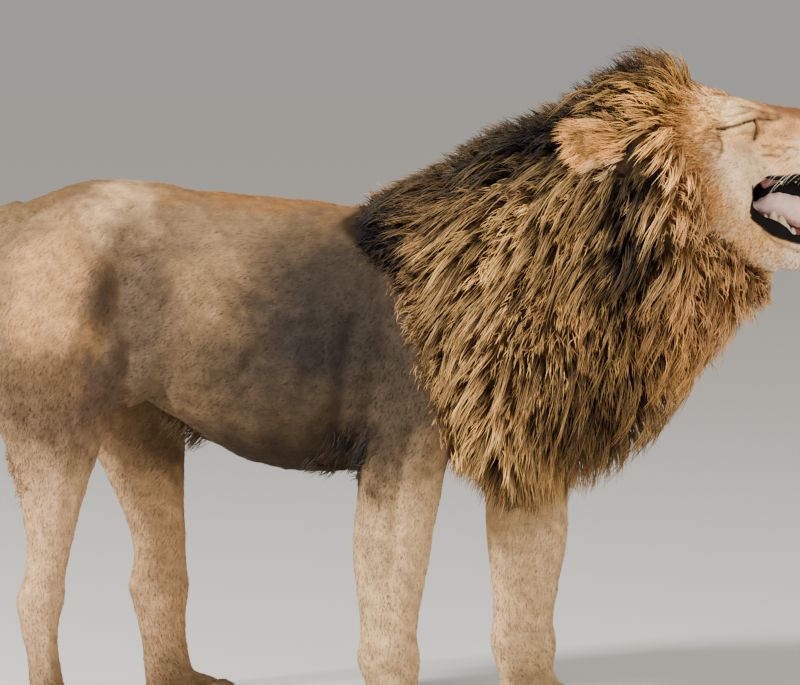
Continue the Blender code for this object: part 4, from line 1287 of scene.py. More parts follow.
TIP_PATCHES = [
    Patch(0.26, 0.10, 1.17, 0.36, 0.20, 0.15, "#30281a", 0.92),
    Patch(0.15, 0.14, 1.06, 0.15, 0.18, 0.10, "#30281a", 0.90),
    Patch(0.42, 0.15, 1.18, 0.12, 0.20, 0.07, "#251c11", 0.92),
    Patch(0.07, 0.18, 0.99, 0.11, 0.18, 0.16, "#15110d", 1.0),
    Patch(0.50, 0.18, 0.62, 0.16, 0.24, 0.19, "#563d22", 0.85),
    Patch(0.44, 0.22, 0.88, 0.12, 0.16, 0.15, "#9c7440", 0.75),
    Patch(0.160, 0.22, 0.80, 0.10, 0.16, 0.26, "#8a6942", 0.75),  # duller along the rear edge
    Patch(0.47, 0.22, 1.04, 0.07, 0.14, 0.09, "#80602f", 0.7),
    Patch(0.33, 0.14, 0.49, 0.20, 0.24, 0.09, "#6b5032", 0.8),  # the fringe
    # painted shade below the ear, behind the ruff
    Patch(0.570, 0.20, 0.91, 0.065, 0.16, 0.18, "#3a2814", 0.85),
    Patch(0.575, 0.20, 1.06, 0.068, 0.14, 0.14, "#1e140a", 0.95),
    Patch(0.65, 0.14, 0.80, 0.10, 0.18, 0.17, "#f0b264", 0.75),
    Patch(0.68, 0.12, 1.08, 0.12, 0.16, 0.25, "#ffcb80", 0.9),
    Patch(0.64, 0.10, 1.26, 0.14, 0.20, 0.11, "#ffc465", 0.95),
    Patch(0.73, 0.06, 0.90, 0.12, 0.14, 0.14, "#f0b672", 0.85),
    Patch(0.49, 0.04, 1.265, 0.13, 0.14, 0.085, "#3a2b1a", 0.90),
    Patch(0.57, 0.00, 1.305, 0.15, 0.13, 0.055, "#3d2c19", 0.92),  # dark tips over the crown
]
FACE_BASE = "#dfa868"
FACE_PATCHES = [
    Patch(0.86, 0.00, 1.24, 0.12, 0.06, 0.035, "#76462a", 0.9),  # worn brown bridge of the nose
    Patch(0.86, 0.05, 1.20, 0.06, 0.04, 0.025, "#b9834f", 0.7),
    Patch(0.74, 0.08, 1.23, 0.07, 0.08, 0.05, "#ffda9a", 0.95),  # pale brow
    Patch(0.68, 0.10, 1.19, 0.05, 0.10, 0.11, "#f2bb68", 0.85),  # ginger temple
    Patch(0.69, 0.10, 1.08, 0.04, 0.08, 0.12, "#eeae68", 0.8),  # ginger behind the cheek
    Patch(0.76, 0.09, 1.09, 0.07, 0.08, 0.11, "#ffdbaa", 0.9),  # pale cheek
    Patch(0.90, 0.05, 1.15, 0.08, 0.06, 0.05, "#e6c494", 0.75),  # whisker pads
    Patch(0.88, 0.00, 0.94, 0.14, 0.12, 0.07, "#f7e6c8", 0.85),  # white chin
    Patch(0.722, 0.11, 1.165, 0.020, 0.04, 0.045, "#96683c", 0.7),  # brown smudge behind the eye
    Patch(0.795, 0.08, 1.19, 0.022, 0.03, 0.03, "#6d5039", 0.55),
]
EAR_BASE_COLOUR = "#efb263"
EAR_PATCHES = [
    Patch(0.51, 0.20, 1.13, 0.09, 0.08, 0.030, "#f3d698", 0.8),  # cream fan below
    Patch(0.44, 0.23, 1.19, 0.04, 0.06, 0.03, "#a87840", 0.7),  # darker tip
]


def paint(points, base, patches):
    """Linear colours at the points: a base with soft-edged patches over it, alike on both sides."""
    at = folded(points + 0.018 * drift_vector(points, 0.12, 21) + 0.007 * drift_vector(points, 0.03, 31))
    colours = np.tile(linear(base), (len(at), 1))
    for patch in patches:
        reach = np.array([patch.long, patch.wide, patch.high])
        gap = np.linalg.norm((at - np.array(patch[:3])) / reach, axis=1)
        share = (patch.strength * (1 - ease(gap, 0.35, 1.20)))[:, None]
        colours += share * (linear(patch.colour) - colours)
    return colours


BLOTCH = 35.714  # millimetres across the soft blotches of the coat
HUE_TURNS = 7.31  # spreads a strand's random value, so that its hue and its lightness differ


def blend(tone, other, share):
    """The tone, given way to the other one by each point's share."""
    return tone + share[:, None] * (other - tone)


def add(tree, kind, inputs=None, **settings):
    """Adds a node with its settings. An input is a value, or a socket to link from."""
    node = tree.nodes.new(kind)
    for name, value in settings.items():
        setattr(node, name, value)
    for name, value in (inputs or {}).items():
        if isinstance(value, bpy.types.NodeSocket):
            tree.links.new(value, node.inputs[name])
        else:
            node.inputs[name].default_value = value
    return node


def new_material(name, roughness, specular):
    """A material, its node tree and its shader."""
    made = bpy.data.materials.new(name)
    made.use_nodes = True
    tree, shader = made.node_tree, made.node_tree.nodes["Principled BSDF"]
    shader.inputs["Roughness"].default_value = roughness
    shader.inputs["Specular IOR Level"].default_value = specular
    return made, tree, shader


def per_metre(millimetres):
    """The scale at which a pattern repeats once in a real size."""
    return 1000 / millimetres


def hair_material(name, spread, roughness=0.6):
    """Coarse, dry hair. To the eye it is dull, with a faint sheen along each strand, and every strand is a
    little lighter, darker or redder than the next."""
    made, tree, shader = new_material(name, roughness, 0.25)
    colour = add(tree, "ShaderNodeAttribute", attribute_name="paint").outputs["Color"]
    lock = add(tree, "ShaderNodeAttribute", attribute_name="lock").outputs["Fac"]
    value = add(tree, "ShaderNodeMapRange", {"Value": lock, "To Min": 1 - spread, "To Max": 1 + spread})
    other = add(tree, "ShaderNodeMath", {0: lock, 1: HUE_TURNS}, operation="MULTIPLY")
    other = add(tree, "ShaderNodeMath", {0: other.outputs[0]}, operation="FRACT")
    hue = add(tree, "ShaderNodeMapRange", {"Value": other.outputs[0], "To Min": 0.487, "To Max": 0.507})
    inputs = {"Hue": hue.outputs[0], "Value": value.outputs[0], "Color": colour}
    tone = add(tree, "ShaderNodeHueSaturation", inputs)
    tree.links.new(tone.outputs[0], shader.inputs["Base Color"])
    return made


def skin_material(name, strand, roughness=0.85):
    """Skin under short flat hair. To the eye it is matt, streaked along the lie of the hair, with soft
    lighter and darker blotches. strand is how long and how far apart the streaks are, in millimetres: a
    hair is about 0.1 mm thick, so the streaks are drawn some twenty times coarser than that to show."""
    made, tree, shader = new_material(name, roughness, 0.15)
    colour = add(tree, "ShaderNodeAttribute", attribute_name="paint").outputs["Color"]
    place = add(tree, "ShaderNodeTexCoord").outputs["Object"]
    scale = [per_metre(size) for size in strand]
    stretched = add(tree, "ShaderNodeMapping", {"Vector": place, "Scale": scale})
    fine = add(tree, "ShaderNodeTexNoise", {"Vector": stretched.outputs[0], "Scale": 1.0, "Detail": 4.0})
    inputs = {"Vector": place, "Scale": per_metre(BLOTCH), "Detail": 3.0}
    patchy = add(tree, "ShaderNodeTexNoise", inputs)
    mixed = add(tree, "ShaderNodeMath", {0: fine.outputs["Fac"], 1: patchy.outputs["Fac"]}, operation="ADD")
    limits = {"From Min": 0.7, "From Max": 1.3, "To Min": 0.72, "To Max": 1.22}
    value = add(tree, "ShaderNodeMapRange", {"Value": mixed.outputs[0], **limits})
    tone = add(tree, "ShaderNodeHueSaturation", {"Value": value.outputs[0], "Color": colour})
    tree.links.new(tone.outputs[0], shader.inputs["Base Color"])
    bump = add(tree, "ShaderNodeBump", {"Height": fine.outputs["Fac"], "Distance": 0.002, "Strength": 0.5})
    tree.links.new(bump.outputs[0], shader.inputs["Normal"])
    return made


def flesh_material(name, colour, second, roughness, pebble, bump):
    """Bare skin, horn or enamel: two tones in soft blotches four pebbles wide, over a fine pebbled surface.
    pebble is in millimetres."""
    made, tree, shader = new_material(name, roughness, 0.5)
    place = add(tree, "ShaderNodeTexCoord").outputs["Object"]
    inputs = {"Vector": place, "Scale": per_metre(4 * pebble), "Detail": 3.0}
    blotch = add(tree, "ShaderNodeTexNoise", inputs)
    mix = add(tree, "ShaderNodeMix", {"Factor": blotch.outputs["Fac"]}, data_type="RGBA")
    mix.inputs["A"].default_value = (*linear(colour), 1)
    mix.inputs["B"].default_value = (*linear(second), 1)
    tree.links.new(mix.outputs["Result"], shader.inputs["Base Color"])
    cells = add(tree, "ShaderNodeTexVoronoi", {"Vector": place, "Scale": per_metre(pebble)})
    inputs = {"Height": cells.outputs["Distance"], "Distance": pebble / 1000, "Strength": bump}
    relief = add(tree, "ShaderNodeBump", inputs)
    tree.links.new(relief.outputs[0], shader.inputs["Normal"])
    return made


def cornea_material():
    """The eye's wet surface. To the eye it is dark and clear, with one small bright glint."""
    made, tree, shader = new_material("cornea", 0.08, 0.5)
    colour = add(tree, "ShaderNodeAttribute", attribute_name="paint").outputs["Color"]
    tree.links.new(colour, shader.inputs["Base Color"])
    return made


# ---------------------------------------------------------------- the coat's pieces

EAR_FLOW = [
    Flow(0.540, 0.200, 1.185, -0.86, 0.24, 0.30, 0.070),
    Flow(0.470, 0.225, 1.205, -0.93, 0.20, 0.28, 0.042),
    Flow(0.560, 0.195, 1.160, -0.90, 0.35, -0.10, 0.080),
    Flow(0.545, 0.190, 1.140, -0.75, 0.40, -0.52, 0.070),
    Flow(0.555, 0.185, 1.130, -0.60, 0.50, -0.62, 0.058),
    Flow(0.460, 0.230, 1.165, -0.70, 0.10, -0.70, 0.032),
]
RUFF_FLOW = [
    Flow(0.620, 0.140, 1.200, -0.80, 0.45, 0.10, 0.055),
    Flow(0.660, 0.130, 1.100, -0.65, 0.45, -0.60, 0.050),
    Flow(0.670, 0.110, 1.000, -0.50, 0.35, -0.78, 0.055),
    Flow(0.655, 0.050, 1.285, -0.75, 0.10, 0.62, 0.050),
    Flow(0.700, 0.120, 1.180, -0.85, 0.35, -0.10, 0.030),
    Flow(0.715, 0.115, 1.080, -0.65, 0.35, -0.65, 0.030),
    Flow(0.730, 0.095, 0.985, -0.55, 0.30, -0.78, 0.032),
    Flow(0.700, 0.050, 1.275, -0.80, 0.10, 0.55, 0.035),
    Flow(0.740, 0.100, 1.220, -0.90, 0.30, 0.20, 0.013),
    Flow(0.745, 0.050, 1.265, -0.90, 0.05, 0.40, 0.014),
    Flow(0.760, 0.090, 1.060, -0.70, 0.35, -0.60, 0.014),
    Flow(0.790, 0.070, 0.970, -0.50, 0.25, -0.80, 0.016),
    Flow(0.800, 0.000, 0.925, -0.40, 0.00, -0.90, 0.024),
]  # where the short fur of the face lengthens into the mane
FRINGE_FLOW = [
    Flow(0.015, 0.160, 0.570, -0.55, 0.00, -0.84, 0.034),
    Flow(-0.050, 0.100, 0.510, -0.80, 0.00, -0.60, 0.030),
    Flow(-0.370, 0.000, 0.590, -0.65, 0.00, -0.76, 0.045),
    Flow(-0.740, 0.080, 0.780, -0.50, 0.00, -0.86, 0.026),
    Flow(-0.690, 0.130, 0.500, -0.60, 0.00, -0.80, 0.020),
]  # at the elbow, belly, sheath and the backs of the thighs
TUFT_FLOW = [Flow(-0.89, 0, 0.30, -0.12, 0.0, -1.0, 0.15)]


def mane_colours(roots):
    """Dark at the root, less so towards the face, with paler ends."""
    front = ease(roots[:, 0], 0.56, 0.68)[:, None]
    return (0.30 + 0.35 * front) * paint(roots, MANE_BASE, MANE_PATCHES), paint(roots, TIP_BASE, TIP_PATCHES)


def tail_colours(roots):
    dark = np.tile(linear(TUFT), (len(roots), 1))
    return dark, 1.8 * dark


def mottled(points):
    """Coat tones that vary a little from one handful of hair to the next."""
    shade = 1 + 0.09 * drift(points, 0.035, 91) + 0.08 * drift(points, 0.012, 95)
    return paint(points, COAT_BASE, COAT_PATCHES) * shade[:, None]


def coat_colours(roots):
    """The coat's tones, with dark hairs strewn in drifts over the flank and shoulder."""
    x, _, z = roots.T
    worn = ease(x, -0.50, -0.38) * ease(z, 0.52, 0.62) * (1 - ease(z, 0.96, 1.02))
    strewn = 0.17 * worn * ease(drift(roots, 0.07, 97), -0.4, 0.9)
    dark = random.uniform(size=len(roots)) < strewn
    tone = mottled(roots) * np.where(dark, 0.22, 1.0)[:, None]
    return 0.90 * tone, 1.08 * tone


def face_colours(roots):
    """The face's tones, uneven from hair to hair, with a dark spot round each whisker's root."""
    spots = folded(roots)[:, None] - np.array(whisker_roots())
    near = np.linalg.norm(spots, axis=2).min(axis=1)
    tone = paint(roots, FACE_BASE, FACE_PATCHES) * face_lines(roots)
    tone *= (1 - 0.75 * (1 - ease(near, 0.002, 0.0045)))[:, None]
    uneven = 1 + 0.15 * drift(roots, 0.02, 101) + 0.34 * random.normal(size=len(roots))
    tone *= np.clip(uneven, 0.30, 1.6)[:, None]
    return 0.60 * tone, 1.14 * tone


def ruff_colours(roots):
    """From the mane's colours at the back to the face's in front."""
    behind = 1 - ease(roots[:, 0], 0.60, 0.72)
    face = paint(roots, FACE_BASE, FACE_PATCHES) * face_lines(roots)
    under, over = mane_colours(roots)
    return blend(0.78 * face, 1.5 * under, behind), blend(1.20 * face, 1.1 * over, behind)


def ear_colours(roots):
    tone = paint(roots, EAR_BASE_COLOUR, EAR_PATCHES)
    return 0.45 * tone, 1.10 * tone


def body_colours(points):
    """The coat's colours, and the mane's dark underwool inside the mane."""
    wool = 0.22 * paint(points, MANE_BASE, MANE_PATCHES)
    return blend(mottled(points), wool, ease(mane_room(points), -0.005, 0.02))


def face_lines(points):
    """The dark lines of lids and tear marks, and painted shade in the folds over the eye, on the pads, across
    the brow and under the lips, as what each colour is multiplied by.
    """
    at = folded(points)
    shade = np.ones(len(points))
    for path, width, depth in dark_lines:
        shade *= 1 - depth * np.exp(-((path_distance(at, path)[0] / width) ** 2))
    return shade[:, None]


def lips(points):
    """How much of each point takes the mouth's dark, 0 to 1: bare black lip, the wet lining, and painted
    shade across the open gape.
    """
    at = folded(points)
    rim = np.minimum(path_distance(at, lip_lines[0])[0], path_distance(at, lip_lines[1])[0])
    corner = np.exp(-((np.linalg.norm(at - UPPER_LIP[0], axis=1) / 0.045) ** 2))
    rim = rim - 0.006 * corner - 0.004 * (at[:, 2] < 1.03)
    edge = mouth_edge(points) - 0.008 * corner * (at[:, 1] < 0.075)
    bare = np.maximum(1 - ease(edge, 0.0140, 0.0175), 1 - ease(rim, 0.0060, 0.0095))
    upper, lower = np.array(UPPER_LIP), np.array(LOWER_LIP)
    ceiling = np.interp(at[:, 0], upper[:, 0], upper[:, 2])
    side, height = (np.interp(at[:, 0], lower[:, 0], lower[:, k]) for k in (1, 2))
    # the gape: painted shade, black between the lips where the mouth stands open
    gape = ease(side - at[:, 1], -0.014, -0.009) * ease(at[:, 2] - height, -0.008, -0.004)
    return np.maximum(bare, gape * (at[:, 0] > UPPER_LIP[0][0]) * (at[:, 2] < ceiling))


def head_colours(points):
    """The face's own colours, the mane's where the head runs back under it, and the mouth's black lips and
    lining, darkened by painted shade deep inside.
    """
    face = paint(points, FACE_BASE, FACE_PATCHES) * face_lines(points)
    wool = 0.40 * paint(points, MANE_BASE, MANE_PATCHES)
    face = blend(face, wool, ease(0.680 - points[:, 0], 0.0, 0.06))
    face = blend(face, linear(NOSE_RIM), 1 - ease(from_nose(points, 0.027, 0.036, 0.028), 0.85, 1.05))
    edge = mouth_edge(points)
    # painted shade inside the mouth: the lining a darkened red near the walls of its hollows, black deeper in
    # and on the soft palate
    inside = (1 - ease(edge, 0.0005, 0.0030)) * ease(edge, -0.012, -0.003)
    lining = blend(linear(LIP), linear(PALATE), inside)
    return blend(face, lining, lips(points))


def eye_colours(points, side):
    """A dark pupil and an amber iris about the line of sight, with the white round them."""
    turn = math.radians(GAZE)
    gaze = np.array((math.cos(turn), side * math.sin(turn), 0.0))
    away = unit(points - (EYE.x, side * EYE.y, EYE.z)) @ gaze
    angle = np.degrees(np.arccos(np.clip(away, -1, 1)))
    iris = blend(linear(IRIS), linear(IRIS_RIM), ease(angle, 12, 34))
    return blend(iris, linear(EYE_WHITE), ease(angle, 36, 42)) * ease(angle, 10, 12)[:, None]


def from_nose(points, *radii):
    """How far out each point lies from the nose, as a share of the given radii."""
    return np.linalg.norm((points - NOSE_MIDDLE) / radii, axis=1)


def from_ear(points):
    """How far each point lies from the middle line of the ear on its side."""
    return path_distance(folded(points), [tuple(EAR_BASE), tuple(EAR_TIP)])[0]


def grows_mane(hide, deepest):
    """Where on a hide the mane's hair has its roots: inside the mane's form, but not round the ears."""
    room = mane_room(hide.middles)
    share = ease(room, 0.008, 0.020) * (room < deepest) * ease(from_ear(hide.middles), 0.030, 0.045)
    x, _, z = hide.middles.T
    return share * (x > 0.03) * (x < 0.70 - 0.06 * ease(z, 1.06, 1.18) + 0.5 * ease(z, 1.00, 0.94))


def mane_regions(roots):
    """Which piece of the mane each root belongs to."""
    x, y, z = roots.T
    left = y > 0
    crown, ruff, chest = (z > 1.17) & (x > 0.42), (x > 0.60) & (z > 0.86), z < 0.80
    return np.where(crown, 0, np.where(ruff, 1 + left, np.where(chest, 3 + left, 5 + left)))


MANE_NAMES = ["crown", "ruff_right", "ruff_left", "chest_right", "chest_left", "neck_right", "neck_left"]


def coat_piece(name, paths, half_widths, outward, colours, material, slot, tones=1.0, turn=(0.0, 1.0)):
    """One piece of coat with its markings, painted from each hair's root to its tip. turn says between
    which two shares of its length a hair changes from its root's colour to its tip's."""
    lock = random.uniform(size=len(paths))
    obj = hair_mesh(name, paths, half_widths, outward, unwrap.patches(paths[:, 0]), lock)
    per = len(obj.data.vertices) // len(paths)
    share = ease(np.tile(hair_tips(half_widths.shape[1]), len(paths)), *turn)[:, None]
    tones = np.broadcast_to(tones, len(paths))[:, None]
    root, tip = (np.repeat(tone * tones, per, axis=0) for tone in colours(paths[:, 0]))
    add_paint(obj.data, root + share * (tip - root))
    finish_piece(obj, material)


def finish_piece(obj, material):
    """Gives a piece its finish. Everything stands on the one body."""
    obj.data.materials.clear()
    obj.data.materials.append(material)
    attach(obj, "root")


def make_mane(material, steps=5):
    """The mane, in locks that gather round guides: dark at the roots, paler at the outer ends."""
    hides = (body_hide, head_hide)
    shares = [grows_mane(body_hide, 0.12), grows_mane(head_hide, 0.05)]
    areas = np.array([(hide.areas * share).sum() for hide, share in zip(hides, shares)])

    def scatter(count):
        found = [h.scatter(int(count * a / areas.sum()), s) for h, a, s in zip(hides, areas, shares)]
        return np.vstack([f[0] for f in found]), np.vstack([f[1] for f in found])

    roots, outward = scatter(MANE_GUIDES)
    lengths = length_of_hair(roots, MANE_FLOW) * random.uniform(0.9, 1.6, len(roots))
    guides, deep = grow_mane(roots, outward, lengths, steps)
    # deeper hairs are painted darker, as painted shade inside the mane; drift and chance vary the tone on top
    tones = 1.18 - 0.50 * deep + 0.30 * drift(roots, 0.07, 81) + 0.22 * random.normal(size=len(roots))
    roots, outward = scatter(MANE_HAIRS)
    paths, own = gather_locks(guides, roots, 0.62, 0.0045)
    across = paths[..., 1]
    across -= 0.5 * np.sign(across) * np.maximum(np.abs(across) - MANE_REACH, 0)
    clear = np.min([from_ear(paths[:, k]) for k in range(1, steps + 1)], axis=0) > 0.028
    paths, own = paths[clear], own[clear]
    tones = np.clip(tones[own], 0.35, 1.75) * random.uniform(0.8, 1.2, len(own))
    region = mane_regions(guides[own, 0])
    widths = random.uniform(*MANE_WIDTHS, len(own))
    turn = (0.15, 0.85)
    for k, name in enumerate(MANE_NAMES):
        mine = region == k
        strands = paths[mine], tapered(widths[mine], steps), mane_outward(paths[mine, 2])
        coat_piece("mane_" + name, *strands, mane_colours, material, "mane", tones[mine], turn)


def short_hair(hide, share, table, count, spread, lift):
    """Straight tufts that lie on the skin: their paths, half widths and the way out."""
    roots, outward = hide.scatter(count, share)
    lie = lie_of_hair(roots, table)
    lie = unit(lie + 0.15 * drift_vector(roots, 0.05, 12) + random.normal(size=lie.shape) * spread)
    lie = unit(lie - (lie * outward).sum(axis=1)[:, None] * outward)
    length = (length_of_hair(roots, table) * random.uniform(0.7, 1.3, len(roots)))[:, None]
    paths = np.stack([roots - 0.0015 * outward, roots + length * unit(lie + lift * outward)], axis=1)
    half = SHORT_WIDTH * random.uniform(0.7, 1.2, (len(roots), 1))
    return paths, half, outward


def long_hair(hide, share, table, count, steps, half_width, lift=0.9, tightness=0.75):
    """Hair that hangs off the skin in small locks: its paths, half widths and the way out."""

    def lengthen(roots, outward):
        lie = lie_of_hair(roots, table)
        length = (length_of_hair(roots, table) * random.uniform(0.7, 1.2, len(roots)))[:, None]
        t = (np.arange(steps + 1) / steps)[None, :, None]
        start = unit(lie + lift * outward)[:, None]
        way = start + t * (lie[:, None] - start)
        return (roots - 0.002 * outward)[:, None] + length[:, None] * t * way

    guides = lengthen(*hide.scatter(max(count // 9, 8), share))
    roots, outward = hide.scatter(count, share)
    paths, _ = gather_locks(guides, roots, tightness, 0.003)
    return paths, tapered(half_width * random.uniform(0.7, 1.2, len(roots)), steps), outward


def make_short_coat():
    """Short fur that lies flat: on the body in two halves, on the face, and the ruff behind the face."""
    hair = hair_material("short_hair", 0.12, 0.75)
    at = body_hide.middles
    share = (1 - ease(mane_room(at), -0.01, 0.02)) * ease(at[:, 2], 0.004, 0.03)
    paths, half, outward = short_hair(body_hide, share, BODY_FLOW, COAT_HAIRS, 0.12, 0.12)
    for name, mine in (("coat_right", paths[:, 0, 1] < 0), ("coat_left", paths[:, 0, 1] >= 0)):
        coat_piece(name, paths[mine], half[mine], outward[mine], coat_colours, hair, "coat")
    at = head_hide.middles
    slit, lip = path_distance(folded(at), dark_lines[0][0])[0], lips(at)
    share = (lip < 0.05) * ease(at[:, 0], 0.62, 0.66) * (slit > 0.0055)
    share *= from_nose(at, 0.028, 0.039, 0.030) > 1
    strands = short_hair(head_hide, share, FACE_FLOW, FACE_HAIRS, 0.16, 0.18)
    coat_piece("face_hair", *strands, face_colours, hair, "face")
    share = ease(at[:, 0], 0.56, 0.60) * (1 - ease(at[:, 0], 0.71, 0.75)) * ease(from_ear(at), 0.030, 0.045)
    hair = hair_material("ruff_hair", 0.22, 0.65)
    strands = long_hair(head_hide, share * (1 - lip), RUFF_FLOW, RUFF_HAIRS, 3, SHORT_WIDTH, 0.5)
    coat_piece("ruff_hair", *strands, ruff_colours, hair, "face")


def near(points, spots, reach):
    """1 near any of the spots on either side, fading to 0 at the given reach."""
    at = folded(points)
    gaps = [np.linalg.norm(at - np.array(spot[:3]), axis=1) for spot in spots]
    return 1 - ease(np.min(gaps, axis=0), 0.5 * reach, reach)


def make_long_coat():
    """Long hair: the mane, the tail's tuft, the fringes and the tufts of the ears."""
    hair = hair_material("mane_hair", 0.30)
    make_mane(hair)
    at = body_hide.middles
    share = near(at, [(-0.895, 0, 0.30)], 0.12) * (at[:, 2] < 0.41)
    strands = long_hair(body_hide, share, TUFT_FLOW, TAIL_HAIRS, 4, TAIL_WIDTH)
    coat_piece("tail_tuft_hair", *strands, tail_colours, hair, "mane")
    share = near(at, FRINGE_FLOW, 0.07) * (mane_room(at) < 0.0)
    strands = long_hair(body_hide, share, FRINGE_FLOW, FRINGE_HAIRS, 4, FRINGE_WIDTH, 0.25)
    coat_piece("fringe", *strands, coat_colours, hair, "coat")
    for ear, name in zip(ears, ("ear_hair_left", "ear_hair_right")):
        hide = Hide(ear)
        strands = long_hair(hide, np.ones(len(hide.areas)), EAR_FLOW, EAR_HAIRS, 4, FRINGE_WIDTH)
        coat_piece(name, *strands, ear_colours, hair, "face", turn=(0.05, 0.6))


# ---------------------------------------------------------------- putting the lion together

body_skin = make_body_skin()
head_skin = make_head_skin()
head_surface = surface(head_skin)
dark_lines = [
    (settled(path, head_surface), width, depth)
    for path, width, depth in (
        (EYE_SLIT, 0.0044, 0.97),
        (EYE_CORNER, 0.0044, 0.85),
        (TEAR_LINE, 0.0050, 0.70),
        (CHEEK_LINE, 0.0048, 0.60),
        # from here on, painted shade in folds: the whisker pad's two folds, over the eye, across the brow and
        # under the lower lip
        (PAD_FOLDS[0], 0.0028, 0.70),
        (PAD_FOLDS[1], 0.0028, 0.70),
        (raised(EYE_SLIT, 0.020), 0.0040, 0.40),
        (raised(EYE_SLIT, 0.040), 0.0040, 0.35),
        ([(0.770, 0.090, 1.250), (0.800, 0.064, 1.246), (0.835, 0.052, 1.236)], 0.0050, 0.45),
        (raised(LOWER_LIP[1:], -0.020), 0.0030, 0.65),
    )
]  # each a line on the left of the face, its width and how dark it is
lip_lines = [settled(UPPER_LIP, head_surface), settled(LOWER_LIP, head_surface)]
mouth = make_mouth()
nose = make_nose()
eyes = [make_eye("eyeball_left", 1), make_eye("eyeball_right", -1)]
ears = [make_ear("ear_skin_left", 1), make_ear("ear_skin_right", -1)]
claws, whiskers = make_claws(), make_whiskers()
for piece in (body_skin, head_skin, *mouth.values(), nose, *eyes, *ears, claws, whiskers):
    piece.data.transform(Matrix.Translation((FORWARD, 0, 0)))

add_paint(body_skin.data, body_colours(points_of(body_skin) - (FORWARD, 0, 0)))
add_paint(head_skin.data, head_colours(points_of(head_skin) - (FORWARD, 0, 0)))
for ear in ears:
    add_paint(ear.data, 0.45 * paint(points_of(ear) - (FORWARD, 0, 0), EAR_BASE_COLOUR, EAR_PATCHES))
for eye, side in zip(eyes, (1, -1)):
    add_paint(eye.data, eye_colours(points_of(eye) - (FORWARD, 0, 0), side))

finish_piece(body_skin, skin_material("short_coat", (6.25, 2.381, 2.381)))
finish_piece(head_skin, skin_material("face_coat", (3.3333, 1.6667, 1.6667)))
ear_material = skin_material("ear_coat", (3.3333, 2.0, 2.0))
cornea = cornea_material()
for ear in ears:
    finish_piece(ear, ear_material)
for eye in eyes:
    finish_piece(eye, cornea)
# wet and smooth, so it glints in small spots
gum = flesh_material("gum", "#9a625a", "#5c3330", 0.28, 4.0, 0.2)
# wet but rough with papillae: a broad soft sheen
papillae = flesh_material("tongue", "#ffdccf", "#f3b9ab", 0.34, 1.6, 0.5)
# dry and pebbled: dark and only a little shiny
leather = flesh_material("nose_leather", "#57352a", "#2c1b16", 0.55, 1.2, 0.5)
# hard and glossy, stained in places
enamel = flesh_material("enamel", "#f3e5c0", "#c9a96e", 0.24, 8.0, 0.03)
# dark and worn smooth: a narrow highlight along each claw
horn = flesh_material("horn", "#43372e", "#1f1813", 0.35, 3.0, 0.1)
# pale and smooth, so it stands out bright against the fur
bristle = flesh_material("whisker", "#efe7d6", "#d9cdb6", 0.4, 10.0, 0.0)
finish_piece(mouth["gums"], gum)
finish_piece(mouth["tongue_skin"], papillae)
finish_piece(nose, leather)
finish_piece(mouth["teeth_upper"], enamel)
finish_piece(mouth["teeth_lower"], enamel)
finish_piece(claws, horn)
finish_piece(whiskers, bristle)

BODY_NODES = ["trunk", "tail", "tail_tuft", "neck_mane", "chest_mane"]
LEG_NODES = ("upper_arm", "forearm", "forepaw", "thigh", "shank", "hind_foot")
for side in ("left", "right"):
    BODY_NODES += [f"{part}_{side}" for part in LEG_NODES]
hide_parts(*BODY_NODES)
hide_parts("head", "lower_jaw")
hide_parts("tongue")
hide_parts("nose_pad")
for eye, ear, side in zip(eyes, ears, ("left", "right")):
    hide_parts(f"eye_{side}")
    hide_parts(f"ear_{side}")

unwrap = Unwrap([body_skin, head_skin])
body_hide, head_hide = Hide(body_skin), Hide(head_skin)
make_long_coat()
make_short_coat()


# ---------------------------------------------------------------- stage, light and camera

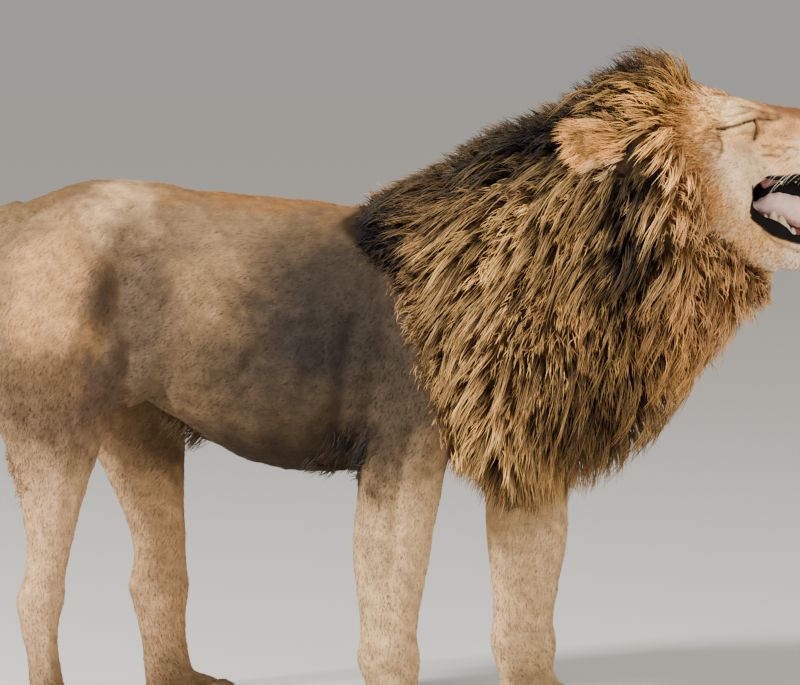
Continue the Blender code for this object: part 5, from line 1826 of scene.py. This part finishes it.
VIEW_AZIMUTH = math.radians(10)
VIEW_HEIGHT = math.radians(4)
VIEW_DISTANCE = 10.0
VIEW_AIM = (0.073 + FORWARD, 0, 0.768)
LENS = 225.0  # mm, on a sensor 36 mm wide
LAMP_AIM = (0, 0, 0.8)
LAMPS = [
    ("key", (-5.4, -4.4, 4.4), 1250, 1.0),
    ("fill", (4.2, -5.0, 3.0), 245, 3.0),
]  # place, watts and size of each: a sun-like key from behind and to the right, and a soft fill


def make_stage():
    """A plain pale floor, matt so that it only takes a soft shadow."""
    deselect()
    bpy.ops.mesh.primitive_plane_add(size=120)
    floor = bpy.context.object
    floor.name = "floor"
    material, _, shader = new_material("pale_floor", 0.9, 0.1)
    shader.inputs["Base Color"].default_value = (*linear("#e6e2da"), 1)
    floor.data.materials.append(material)


def make_camera():
    data = bpy.data.cameras.new("camera")
    camera = bpy.data.objects.new("camera", data)
    bpy.context.scene.collection.objects.link(camera)
    flat = math.cos(VIEW_HEIGHT)
    back = Vector((math.sin(VIEW_AZIMUTH) * flat, -math.cos(VIEW_AZIMUTH) * flat, math.sin(VIEW_HEIGHT)))
    camera.location = Vector(VIEW_AIM) + back * VIEW_DISTANCE
    camera.rotation_euler = (-back).to_track_quat("-Z", "Y").to_euler()
    data.lens = LENS
    data.sensor_width = 36.0
    data.clip_end = 400.0
    bpy.context.scene.camera = camera


def make_lights():
    """Two lamps in a studio that glows a little brighter overhead."""
    world = bpy.data.worlds.new("studio")
    bpy.context.scene.world = world
    world.use_nodes = True
    tree, background = world.node_tree, world.node_tree.nodes["Background"]
    background.inputs["Color"].default_value = (1.0, 0.98, 0.95, 1)
    way = add(tree, "ShaderNodeTexCoord").outputs["Generated"]
    height = add(tree, "ShaderNodeSeparateXYZ", {"Vector": way}).outputs["Z"]
    limits = {"From Max": 0.5, "To Min": 0.385, "To Max": 0.52}
    glow = add(tree, "ShaderNodeMapRange", {"Value": height, **limits})
    tree.links.new(glow.outputs[0], background.inputs["Strength"])
    for name, place, watts, size in LAMPS:
        data = bpy.data.lights.new(name, "AREA")
        data.energy, data.size = watts, size
        lamp = bpy.data.objects.new(name, data)
        bpy.context.scene.collection.objects.link(lamp)
        lamp.location = place
        lamp.rotation_euler = (Vector(LAMP_AIM) - Vector(place)).to_track_quat("-Z", "Y").to_euler()


make_stage()
make_lights()
make_camera()
